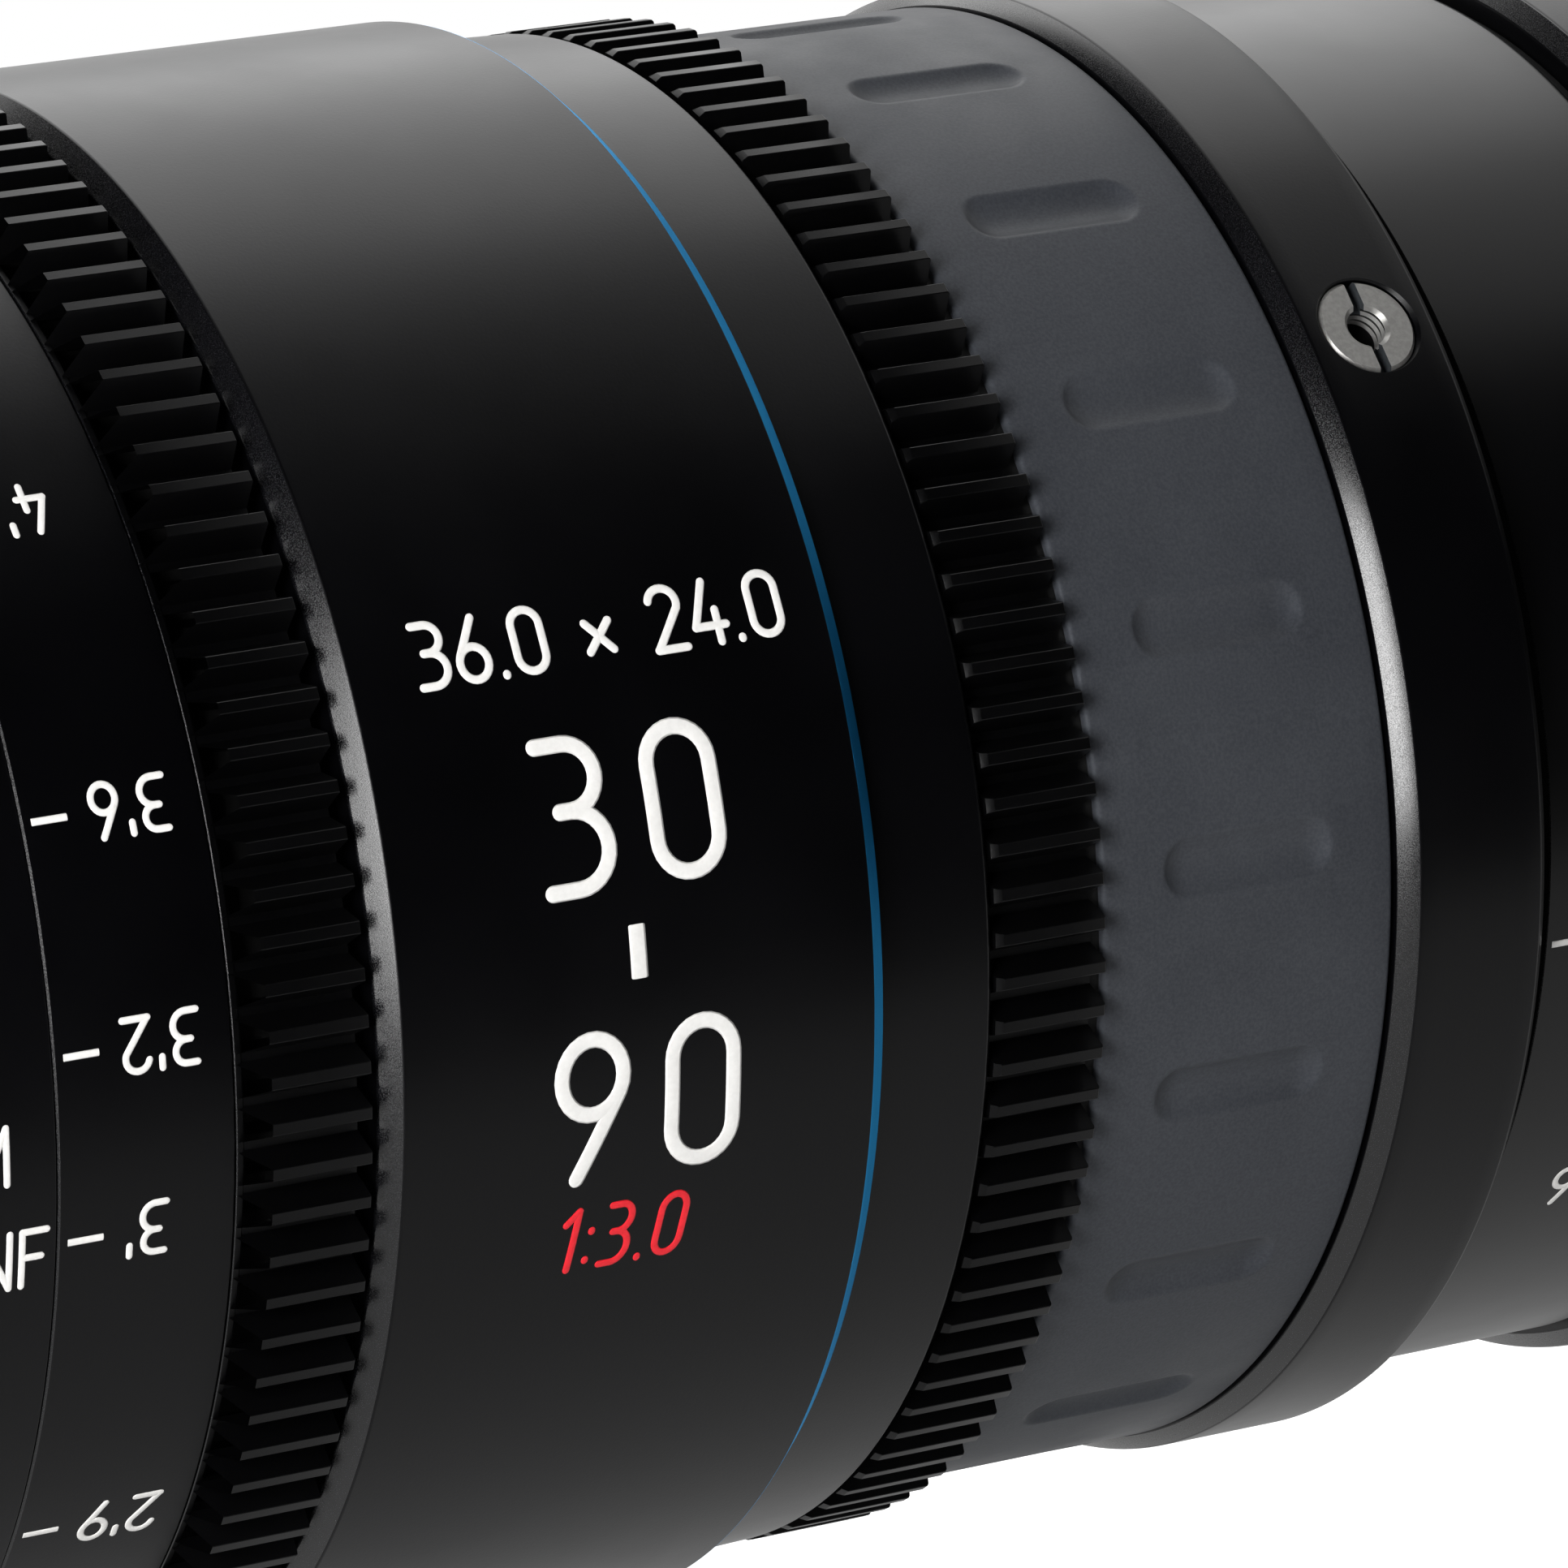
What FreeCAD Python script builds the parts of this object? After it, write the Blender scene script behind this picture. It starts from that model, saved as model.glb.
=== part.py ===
import FreeCAD, Part
import math
import os
import re
import Sketcher

# Cinema zoom lens, millimetres. The optical axis is X: the front glass looks along -X and the mount
# leaves along +X. Z is up. The origin is the centre of the mount's seating face.
# Angles round the axis are counted from the operator's side (-Y) over the top (+Z).

Vector = FreeCAD.Vector
doc = FreeCAD.newDocument("CinemaZoomLens")

# Driving dimensions, each written once
SIZES = {
    # Lengths of the visible zones, from the mount forward
    "spigotLength": 17.0,
    "flangeThickness": 3.4,
    "neckLength": 5.6,
    "rearConeLength": 6.5,
    "rearCaseLength": 4.1,
    "irisRearGap": 0.4,
    "irisRearBandLength": 4.0,
    "irisGearLength": 8.0,
    "irisBandLength": 7.1,
    "irisFrontGap": 0.9,
    "rearBarrelLength": 19.6,
    "zoomRearGap": 0.3,
    "zoomFlangeLength": 10.0,
    "gripRearGap": 0.2,
    "gripLength": 19.5,
    "gripFrontGap": 0.8,
    "zoomGearLength": 7.15,
    "zoomFrontGap": 0.25,
    "casingBandLength": 7.6,
    "accentLength": 1.1,
    "casingLength": 30.6,
    "focusRearGap": 1.1,
    "focusGearLength": 7.4,
    "focusBandLength": 10.65,
    "scaleJoint": 0.1,
    "focusSleeveLength": 23.55,
    "focusFrontGap": 0.4,
    "frontCollarLength": 13.7,
    # The tube that every ring turns on, and how far each visible zone stands above it
    "mainOuter": 40.4,
    "mainWall": 1.8,
    "frontRise": 7.1,
    "focusBandRise": 5.15,
    "casingRise": 6.35,
    "casingFrontDrop": 1.05,
    "accentRearRise": 5.4,
    "casingBandRise": 4.9,
    "casingBandTaper": 0.2,
    "gripRise": 3.25,
    "zoomFlangeRise": 4.25,
    "rearBarrelRise": 1.8,
    "irisBandRise": 3.3,
    "rearCaseRise": 1.6,
    "rearConeDrop": 3.9,
    # Edge breaks
    "edgeBreak": 0.3,
    "casingChamfer": 1.1,
    "flangeFrontChamfer": 1.1,
    "flangeFrontDrop": 0.95,
    "flangeRearChamfer": 0.65,
    "irisChamfer": 1.1,
    "rearBarrelRound": 0.8,
    "barrelReliefLength": 1.35,
    "barrelReliefDepth": 0.9,
    # Gears for motor drive
    "gearModule": 0.8,
    "pressureAngle": 20.0,
    "rootClearance": 0.2,
    "focusGearRise": 6.8,
    "zoomGearRise": 4.8,
    "irisGearRise": 3.2,
    "focusToothBevel": 1.35,
    "toothChamfer": 0.3,
    "toothRearBreak": 0.1,
    # Fixed tubes and running clearances
    "mainFrontInset": 6.5,
    "mainRearInset": 16.0,
    "runClearance": 0.05,
    "slotClearance": 0.05,
    "slotEndSpare": 0.3,
    "cutOverrun": 1.0,
    "washerClearance": 0.05,
    "washerRise": 1.0,
    "casingWall": 2.75,
    "tongueWall": 1.5,
    "tongueLength": 4.8,
    "ribLength": 3.0,
    # Front opening
    "filterRise": 2.1,
    "trimThickness": 1.5,
    "trimStep": 0.7,
    "trimWidth": 4.1,
    "trimBevel": 1.2,
    # Focus movement
    "focusSeatRise": 2.6,
    "focusBack": 40.0,
    "focusForward": 230.0,
    "focusTravel": 12.0,
    "focusPinInset": 21.9,
    "focusPinRadius": 1.55,
    "focusCellInset": 3.9,
    "focusCellLength": 26.0,
    "focusCellWall": 2.35,
    "focusCellFlare": 0.6,
    "frontGlassThickness": 9.0,
    "frontGlassInset": 2.4,
    "frontGlassBulge": 5.0,
    "frontGlassRearSag": 2.0,
    "secondGlassStep": 3.2,
    "secondGlassThickness": 7.0,
    "secondGlassBulge": 2.2,
    "glassWall": 1.0,
    "lockRingLength": 2.0,
    "lockRingWall": 1.6,
    "followerRoot": 2.5,
    "focusPinSink": 0.3,
    # Zoom movement
    "zoomSeatRise": 1.5,
    "zoomGearStep": 0.6,
    "zoomLipDrop": 0.3,
    "zoomBack": 45.0,
    "zoomForward": 65.0,
    "camWall": 2.15,
    "camFrontInset": 5.1,
    "camLock": 2.0,
    "guideWall": 1.95,
    "guideFlangeLength": 3.0,
    "keyInset": 4.6,
    "keyRadius": 2.5,
    "camPinRadius": 2.0,
    "camPinSink": 0.25,
    "keyRoot": 0.4,
    "keySink": 0.2,
    "variatorTravel": 24.0,
    "variatorPinInset": 8.2,
    "variatorLead": 7.0,
    "variatorLength": 14.0,
    "variatorWall": 6.35,
    "variatorGlassThickness": 4.0,
    "variatorGlassSag": 1.6,
    "compensatorTravel": 9.0,
    "compensatorPinInset": 1.4,
    "compensatorLead": 5.0,
    "compensatorLength": 10.0,
    "compensatorWall": 7.35,
    "compensatorGlassThickness": 6.0,
    "compensatorGlassBulge": 1.8,
    # Grip dimples
    "dimpleCount": 20,
    "dimplePhase": 5.15,
    "dimpleToolRadius": 2.7,
    "dimpleDepth": 0.62,
    "dimpleLength": 13.5,
    # Lever sockets in the zoom flange
    "socketCount": 3,
    "socketPhase": 295.5,
    "socketInset": 4.7,
    "socketRadius": 3.05,
    "socketThreadRadius": 1.25,
    "socketDepth": 2.2,
    "socketSink": 0.25,
    "socketFlare": 0.35,
    "socketFlareHeight": 0.85,
    "socketSlotWidth": 0.72,
    "socketSlotDepth": 0.8,
    # Iris
    "irisTurn": 60.0,
    "bladeTurn": 36.0,
    "bladeCount": 9,
    "bladeThickness": 0.1,
    "bladePitch": 0.17,
    "aperture": 17.0,
    "bladeWidth": 6.8,
    "bladeSpan": 84.0,
    "bladeLead": 6.0,
    "bladeLayerGap": 0.03,
    "bladeEdgeStep": 0.1,
    "bladeFootLap": 1.2,
    "bladeFootRise": 1.8,
    "bladeFootBack": 3.0,
    "bladeFootLead": 5.0,
    "pivotRise": 8.8,
    "drivePinDrop": 0.9,
    "drivePinReach": 7.5,
    "drivePinGap": 0.2,
    "bladePin": 0.6,
    "plateThickness": 1.0,
    "irisPlateGap": 0.15,
    "coverPlateStep": 1.0,
    "actuatorThickness": 2.4,
    "actuatorInset": 2.6,
    "actuatorLip": 1.0,
    "actuatorGrooveDepth": 1.4,
    "irisPinRadius": 0.9,
    "irisPinEmbed": 1.5,
    # Relay group and mount
    "relayInset": 11.5,
    "basePlateInset": 1.4,
    "relayFlangeLength": 2.5,
    "relaySeatInset": 4.0,
    "relayFit": 1.8,
    "relayWall": 2.4,
    "relayRearInset": 3.0,
    "relayGlassThickness": 8.0,
    "relayGlassBulge": 2.4,
    "rearGlassThickness": 5.0,
    "neckRise": 4.2,
    "neckBoreRise": 0.6,
    "rearPlateThickness": 4.0,
    "spigotRadius": 27.0,
    "lugRise": 3.4,
    "lugAngle": 44.0,
    "lugCount": 4,
    "notchWidth": 4.0,
    "notchDepth": 2.2,
    "screwCount": 6,
    "screwRadius": 0.8,
    "screwHeadRadius": 1.5,
    "screwHeadDepth": 0.8,
    "screwLength": 7.0,
    "screwClearance": 0.05,
    "screwHoleSpare": 0.5,
    "collarScrewCount": 3,
    "collarScrewRadius": 1.25,
    "collarScrewInset": 4.5,
    "collarScrewSink": 0.6,
}

sheet = doc.addObject("Spreadsheet::Sheet", "Sizes")
for row, (name, value) in enumerate(SIZES.items(), start=1):
    sheet.set("A%d" % row, name)
    sheet.set("B%d" % row, str(value))
    sheet.setAlias("B%d" % row, name)
doc.recompute()

# Places and fits that follow from the driving dimensions, in the order they build on each other
LAYOUT = {
    "flangeFront": "-flangeThickness",
    "neckFront": "flangeFront - neckLength",
    "coneFront": "neckFront - rearConeLength",
    "rearCaseFront": "coneFront - rearCaseLength",
    "irisRear": "rearCaseFront - irisRearGap",
    "irisGearRear": "irisRear - irisRearBandLength",
    "irisGearFront": "irisGearRear - irisGearLength",
    "irisFront": "irisGearFront - irisBandLength",
    "rearBarrelRear": "irisFront - irisFrontGap",
    "rearBarrelFront": "rearBarrelRear - rearBarrelLength",
    "zoomFlangeRear": "rearBarrelFront - zoomRearGap",
    "zoomFlangeFront": "zoomFlangeRear - zoomFlangeLength",
    "gripRear": "zoomFlangeFront - gripRearGap",
    "gripFront": "gripRear - gripLength",
    "zoomGearRear": "gripFront - gripFrontGap",
    "zoomGearFront": "zoomGearRear - zoomGearLength",
    "casingBandRear": "zoomGearFront - zoomFrontGap",
    "casingBandFront": "casingBandRear - casingBandLength",
    "accentFront": "casingBandFront - accentLength",
    "casingFront": "accentFront - casingLength",
    "focusRear": "casingFront - focusRearGap",
    "focusGearFront": "focusRear - focusGearLength",
    "focusBandFront": "focusGearFront - focusBandLength",
    "focusSleeveRear": "focusBandFront - scaleJoint",
    "focusSleeveFront": "focusSleeveRear - focusSleeveLength",
    "collarRear": "focusSleeveFront - focusFrontGap",
    "frontRim": "collarRear - frontCollarLength",
    "mainBore": "mainOuter - mainWall",
    "frontRadius": "mainOuter + frontRise",
    "focusBandRadius": "mainOuter + focusBandRise",
    "casingRadius": "mainOuter + casingRise",
    "casingFrontRadius": "casingRadius - casingFrontDrop",
    "casingBore": "casingRadius - casingWall",
    "accentRearRadius": "mainOuter + accentRearRise",
    "casingBandRadius": "mainOuter + casingBandRise",
    "tongueRadius": "casingBore - tongueWall",
    "gripRadius": "mainOuter + gripRise",
    "zoomFlangeRadius": "mainOuter + zoomFlangeRise",
    "rearBarrelRadius": "mainOuter + rearBarrelRise",
    "irisBandRadius": "mainOuter + irisBandRise",
    "rearCaseRadius": "mainOuter + rearCaseRise",
    "rearConeRadius": "mainOuter - rearConeDrop",
    "washerRadius": "mainOuter + washerRise",
    "filterRadius": "mainOuter + filterRise",
    "trimRadius": "filterRadius - trimStep",
    "focusSeatRadius": "mainOuter + focusSeatRise",
    "zoomSeatRadius": "mainOuter + zoomSeatRise",
    "neckRadius": "spigotRadius + neckRise",
    "lugRadius": "neckRadius + lugRise",
    "neckBore": "spigotRadius + neckBoreRise",
    "screwPitchRadius": "(neckBore + neckRadius) / 2",
    "relayTubeRadius": "spigotRadius - relayFit",
    "mainFront": "frontRim + mainFrontInset",
    "mainRear": "-mainRearInset",
    "ringBore": "mainOuter + runClearance",
    "cellOuter": "mainBore - runClearance",
    "focusTeeth": "round(2 * (mainOuter + focusGearRise) / gearModule - 2)",
    "zoomTeeth": "round(2 * (mainOuter + zoomGearRise) / gearModule - 2)",
    "irisTeeth": "round(2 * (mainOuter + irisGearRise) / gearModule - 2)",
    "zoomTip": "gearModule * (zoomTeeth + 2) / 2",
    "toothDepth": "2 * gearModule + rootClearance",
    "zoomRoot": "zoomTip - toothDepth",
    "focusRate": "focusTravel / (focusBack + focusForward)",
    "variatorRate": "variatorTravel / (zoomBack + zoomForward)",
    "compensatorRate": "compensatorTravel / (zoomBack + zoomForward)",
    "focusPinX": "focusSleeveFront + focusPinInset",
    "focusCellFront": "focusSleeveFront + focusCellInset",
    "frontGlassRadius": "cellOuter - focusCellWall",
    "secondGlassRadius": "frontGlassRadius - secondGlassStep",
    "camOuter": "mainBore - runClearance",
    "camFront": "casingFront + camFrontInset",
    "keyX": "zoomFlangeFront - keyInset",
    "variatorPinX": "casingBandFront + variatorPinInset",
    "variatorFront": "variatorPinX - variatorLead",
    "compensatorPinX": "rearBarrelFront - compensatorPinInset",
    "compensatorFront": "compensatorPinX - compensatorLead",
    "camBore": "camOuter - camWall",
    "guideOuter": "camBore - runClearance",
    "guideBore": "guideOuter - guideWall",
    "zoomCellOuter": "guideBore - runClearance",
    "variatorGlassRadius": "zoomCellOuter - variatorWall",
    "compensatorGlassRadius": "zoomCellOuter - compensatorWall",
    "bladeOuter": "aperture + bladeWidth",
    "pivotRadius": "aperture + pivotRise",
    "drivePinRadius": "pivotRadius - drivePinDrop",
    "actuatorOuter": "mainBore - actuatorInset",
    "actuatorBore": "aperture + actuatorLip",
    "relayFlangeFront": "mainRear - relayInset",
    "basePlateRear": "relayFlangeFront - basePlateInset",
    "basePlateFront": "basePlateRear - plateThickness",
    "bladeStackRear": "basePlateFront - irisPlateGap",
    "bladeStackFront": "bladeStackRear - bladeCount * bladePitch",
    "actuatorRear": "bladeStackFront - irisPlateGap",
    "actuatorFront": "actuatorRear - actuatorThickness",
    "coverPlateRear": "actuatorFront - irisPlateGap",
    "coverPlateFront": "coverPlateRear - plateThickness",
    "guideRear": "coverPlateFront - irisPlateGap",
    "guideFlangeFront": "guideRear - guideFlangeLength",
    "camRear": "guideFlangeFront - runClearance",
    "camLockFront": "camFront - runClearance - camLock",
    "relayRear": "spigotLength - relayRearInset",
    "relayBore": "relayTubeRadius - relayWall",
    "focusSlotFront": "focusPinX - focusRate * focusForward",
    "focusSlotRear": "focusPinX + focusRate * focusBack",
    "variatorSlotFront": "variatorPinX - variatorRate * zoomBack",
    "variatorSlotRear": "variatorPinX + variatorRate * zoomForward",
    "compensatorSlotFront": "compensatorPinX - compensatorRate * zoomForward",
    "compensatorSlotRear": "compensatorPinX + compensatorRate * zoomBack",
}

layout = doc.addObject("App::VarSet", "Layout")


def bound(text, inside_layout=False):
    """Expression text with every word joined to the sheet or the layout that holds it."""

    def owner(word):
        name = word.group()
        if name in SIZES:
            return "Sizes." + name
        if name in LAYOUT and not inside_layout:
            return "Layout." + name
        return name

    return re.sub(r"[A-Za-z]\w*", owner, str(text))


for name, text in LAYOUT.items():
    layout.addProperty("App::PropertyFloat", name, "Stations")
    layout.setExpression(name, bound(text, inside_layout=True))
doc.recompute()


probe = doc.addObject("App::VarSet", "Probe")
probe.addProperty("App::PropertyFloat", "value", "Worth")


def number(text):
    """The present value of a driving dimension, a layout place or an expression in them."""
    if text in SIZES:
        return float(sheet.get(text))
    if text in LAYOUT:
        return float(layout.getPropertyByName(text))
    probe.setExpression("value", bound(text))
    probe.recompute()
    return float(probe.value)


nodes = []

# How far the teeth's blank stands above their tips before it is trimmed
CREST_OVERRUN = 0.01


class PlainRing:
    """Loose turned ring that cam slots are cut into."""

    def __init__(self, bore, outer, front, rear):
        self.bore = number(bore)
        self.outer = number(outer)
        self.solid = turned_shape([
            (number(front), self.bore), (number(front), self.outer),
            (number(rear), self.outer), (number(rear), self.bore),
        ])


def keep(piece, label):
    piece.Label = label
    nodes.append(piece)
    return piece


def radial(angle):
    """Unit vector away from the axis at an angle counted from -Y over +Z."""
    turn = math.radians(angle)
    return Vector(0, -math.cos(turn), math.sin(turn))


def point(x, radius, angle):
    return Vector(x, 0, 0) + radial(angle) * radius


def about_axis(angle):
    """Turn about the optical axis, from the operator's side towards the top."""
    return FreeCAD.Placement(Vector(), FreeCAD.Rotation(Vector(-1, 0, 0), angle))


# Sketches and turned bodies
def origin_feature(body, role):
    for feature in body.Origin.OriginFeatures:
        if feature.Role == role:
            return feature
    raise ValueError(role)


def outline_sketch(body, name, points, plane="XZ_Plane", axis=None):
    """Closed outline whose corners are bound to expressions; axis is an optional own turning axis."""
    sketch = body.newObject("Sketcher::SketchObject", name)
    sketch.AttachmentSupport = [(origin_feature(body, plane), "")]
    sketch.MapMode = "FlatFace"
    count = len(points)
    guess = [Vector(number(across), number(up), 0) for across, up in points]
    for index in range(count):
        sketch.addGeometry(Part.LineSegment(guess[index], guess[(index + 1) % count]), False)
    for index in range(count):
        sketch.addConstraint(Sketcher.Constraint("Coincident", index, 2, (index + 1) % count, 1))
    places = [(index, 1, points[index], guess[index]) for index in range(count)]
    if axis:
        ends = [Vector(number(across), number(up), 0) for across, up in axis]
        line = sketch.addGeometry(Part.LineSegment(ends[0], ends[1]), True)
        places.append((line, 1, axis[0], ends[0]))
        places.append((line, 2, axis[1], ends[1]))
    for index, end, corner, start in places:
        across = sketch.addConstraint(Sketcher.Constraint("DistanceX", -1, 1, index, end, start.x))
        up = sketch.addConstraint(Sketcher.Constraint("DistanceY", -1, 1, index, end, start.y))
        sketch.setExpression("Constraints[%d]" % across, bound(corner[0]))
        sketch.setExpression("Constraints[%d]" % up, bound(corner[1]))
    return sketch


def turned(label, points):
    """Body turned about the optical axis; points are (x, radius)."""
    body = doc.addObject("PartDesign::Body", label)
    sketch = outline_sketch(body, label + "_profile", points)
    solid = body.newObject("PartDesign::Revolution", label + "_turned")
    solid.Profile = sketch
    solid.ReferenceAxis = (origin_feature(body, "X_Axis"), [""])
    solid.Angle = 360
    return keep(body, label)


def tube(label, front, rear, bore, outer, front_break="0", rear_break="0"):
    """Plain turned ring with its outer edges broken."""
    corners = [(front, bore)]
    if front_break == "0":
        corners.append((front, outer))
    else:
        corners.append((front, outer + " - " + front_break))
        corners.append((front + " + " + front_break, outer))
    if rear_break == "0":
        corners.append((rear, outer))
    else:
        corners.append((rear + " - " + rear_break, outer))
        corners.append((rear, outer + " - " + rear_break))
    corners.append((rear, bore))
    return turned(label, corners)


def repeat(body, feature, name, count):
    """Copies of a feature evenly round the optical axis."""
    pattern = body.newObject("PartDesign::PolarPattern", name)
    pattern.Originals = [feature]
    pattern.Axis = (origin_feature(body, "X_Axis"), [""])
    pattern.Angle = 360
    pattern.setExpression("Occurrences", bound(count))
    body.Tip = pattern
    return pattern


def grooved(body, name, points, axis=None, sweep=None, count=None):
    """Cut turned about the optical axis or an own axis, then repeated round the optical axis."""
    sketch = outline_sketch(body, name + "_profile", points, axis=axis)
    cut = body.newObject("PartDesign::Groove", name)
    cut.Profile = sketch
    if axis:
        cut.ReferenceAxis = (sketch, ["Axis0"])
    else:
        cut.ReferenceAxis = (origin_feature(body, "X_Axis"), [""])
    cut.Angle = 360
    if sweep:
        cut.Midplane = True
        cut.setExpression("Angle", bound(sweep))
    if count:
        repeat(body, cut, name + "_round", count)
    return cut


def slotted(body, name, front, rear, half_width, depth, count):
    """Round-ended slots along the axis, cut through the wall from above and repeated."""
    sketch = body.newObject("Sketcher::SketchObject", name + "_profile")
    sketch.AttachmentSupport = [(origin_feature(body, "XY_Plane"), "")]
    sketch.MapMode = "FlatFace"
    normal = Vector(0, 0, 1)
    first = Vector(number(front), 0, 0)
    last = Vector(number(rear), 0, 0)
    side = Vector(0, 2, 0)
    sketch.addGeometry([
        Part.ArcOfCircle(Part.Circle(first, normal, side.y), math.pi / 2, 3 * math.pi / 2),
        Part.ArcOfCircle(Part.Circle(last, normal, side.y), -math.pi / 2, math.pi / 2),
        Part.LineSegment(first + side, last + side),
        Part.LineSegment(first - side, last - side),
    ], False)
    for joint in ((0, 1, 2, 1), (0, 2, 3, 1), (1, 2, 2, 2), (1, 1, 3, 2)):
        sketch.addConstraint(Sketcher.Constraint("Tangent", *joint))
    width = sketch.addConstraint(Sketcher.Constraint("Radius", 0, side.y))
    sketch.setExpression("Constraints[%d]" % width, bound(half_width))
    for arc, place, start in ((0, front, first.x), (1, rear, last.x)):
        along = sketch.addConstraint(Sketcher.Constraint("DistanceX", -1, 1, arc, 3, start))
        sketch.setExpression("Constraints[%d]" % along, bound(place))
    sketch.addConstraint(Sketcher.Constraint("DistanceY", -1, 1, 0, 3, 0))
    cut = body.newObject("PartDesign::Pocket", name)
    cut.Profile = sketch
    cut.Reversed = True
    cut.setExpression("Length", bound(depth))
    repeat(body, cut, name + "_round", count)


# Solids from primitives
def cylinder_along(x, radius, length, height="0"):
    """Cylinder parallel to the optical axis, its own axis at a height above it."""
    rod = doc.addObject("Part::Cylinder", "rod")
    rod.Placement = FreeCAD.Placement(Vector(), FreeCAD.Rotation(Vector(0, 1, 0), 90))
    rod.setExpression("Radius", bound(radius))
    rod.setExpression("Height", bound(length))
    rod.setExpression("Placement.Base.x", bound(x))
    rod.setExpression("Placement.Base.z", bound(height))
    return rod


def sphere_at(x, radius):
    ball = doc.addObject("Part::Sphere", "ball")
    ball.setExpression("Radius", bound(radius))
    ball.setExpression("Placement.Base.x", bound(x))
    return ball


def joined(kind, base, tool):
    result = doc.addObject(kind, "joined")
    result.Base = base
    result.Tool = tool
    return result


def lens_element(label, front, thickness, rim, front_bulge, rear_bulge):
    """Glass element; a bulge is positive outwards and negative for a hollow face."""
    shape = cylinder_along(front, rim, thickness)
    for bulge, face, way in ((front_bulge, front, 1), (rear_bulge, front + " + " + thickness, -1)):
        hollow = bulge.startswith("-")
        sag = bulge.lstrip("-")
        curve = "(%s * %s + %s * %s) / (2 * %s)" % (rim, rim, sag, sag, sag)
        if hollow:
            centre = "%s + %d * (%s - %s)" % (face, way, sag, curve)
            shape = joined("Part::Cut", shape, sphere_at(centre, curve))
        else:
            centre = "%s + %d * %s" % (face, way, curve)
            shape = joined("Part::Common", shape, sphere_at(centre, curve))
    return keep(shape, label)


def radial_pins(label, x, inner, outer, radius, count, phase):
    """Round pins standing out from the axis, one compound of separate solids."""
    pins = []
    count = int(number(str(count)))
    for index in range(count):
        angle = "(%s + %d * 360 / %d)" % (phase, index, count)
        pin = doc.addObject("Part::Cylinder", label + "_pin")
        tilt = number(str(phase)) + index * 360.0 / count - 90
        pin.Placement = FreeCAD.Placement(Vector(), FreeCAD.Rotation(Vector(-1, 0, 0), tilt))
        pin.setExpression("Radius", bound(radius))
        pin.setExpression("Height", bound("%s - (%s)" % (outer, inner)))
        pin.setExpression("Placement.Base.x", bound(x))
        pin.setExpression("Placement.Base.y", bound("-(%s) * cos(%s)" % (inner, angle)))
        pin.setExpression("Placement.Base.z", bound("(%s) * sin(%s)" % (inner, angle)))
        pins.append(pin)
    group = doc.addObject("Part::Compound", label)
    group.Links = pins
    return keep(group, label)


def shaped(label, shape):
    """Piece whose outline follows a formula, read from the sheet when it is made."""
    piece = doc.addObject("Part::Feature", label)
    piece.Shape = shape
    return keep(piece, label)


def turned_shape(points):
    """Loose solid turned about the optical axis from (x, radius) numbers."""
    corners = [Vector(x, 0, radius) for x, radius in points]
    face = Part.Face(Part.makePolygon(corners + [corners[0]]))
    return face.revolve(Vector(), Vector(1, 0, 0), 360)


def toothed_ring(teeth, bore, front, rear, front_bevel, rear_bevel):
    """Ring with straight trapezoid teeth, its tooth ends bevelled."""
    module = number("gearModule")
    depth = number("toothDepth")
    tip = module * (teeth + 2) / 2
    root = tip - depth
    slope = math.tan(math.radians(number("pressureAngle")))
    half_pitch_tooth = math.pi * module / 4
    half_crest = half_pitch_tooth - module * slope
    half_base = half_crest + depth * slope
    corners = []
    for index in range(teeth):
        middle = 360.0 * index / teeth
        crest = math.degrees(half_crest / tip)
        base = math.degrees(half_base / root)
        corners.append(point(front, root, middle - base))
        corners.append(point(front, tip, middle - crest))
        corners.append(point(front, tip, middle + crest))
        corners.append(point(front, root, middle + base))
    blank = Part.Face(Part.makePolygon(corners + [corners[0]])).extrude(Vector(rear - front, 0, 0))
    envelope = turned_shape([
        (front, bore),
        (front, tip - front_bevel[1]),
        (front + front_bevel[0], tip + CREST_OVERRUN),
        (rear - rear_bevel[0], tip + CREST_OVERRUN),
        (rear, tip - rear_bevel[1]),
        (rear, bore),
    ])
    return blank.common(envelope)


def cut_cam_slot(ring, rest_x, rate, back, forward, pin_radius, angle):
    """Helical slot that a radial pin follows while the ring turns from -back to +forward degrees.
    rate is the pin's move along the axis for each degree."""
    clear = pin_radius + number("slotClearance")
    low = -back if rate > 0 else forward
    high = forward if rate > 0 else -back
    start_x = rest_x + rate * low
    height = abs(rate) * (back + forward)
    overrun = number("cutOverrun")
    inner = ring.bore - overrun
    outer = ring.outer + overrun
    middle = (inner + outer) / 2
    helix = Part.makeHelix(abs(rate) * 360, height, middle, 0, rate < 0)
    lead = math.atan(abs(rate) * 180 / math.pi / middle)
    half_axial = clear / math.cos(lead)
    corners = [
        Vector(inner, 0, -half_axial),
        Vector(outer, 0, -half_axial),
        Vector(outer, 0, half_axial),
        Vector(inner, 0, half_axial),
    ]
    profile = Part.makePolygon(corners + [corners[0]])
    swept = Part.Wire(helix.Edges).makePipeShell([profile], True, True)
    swept.rotate(Vector(), Vector(0, 1, 0), 90)
    swept.rotate(Vector(), Vector(-1, 0, 0), angle - low + 90)
    swept.translate(Vector(start_x, 0, 0))
    ring.solid = ring.solid.cut(swept)
    for x, turn in ((start_x, angle - low), (start_x + height, angle - high)):
        start = point(x, inner, turn)
        ring.solid = ring.solid.cut(Part.makeCylinder(clear, outer - inner, start, radial(turn)))


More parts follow.
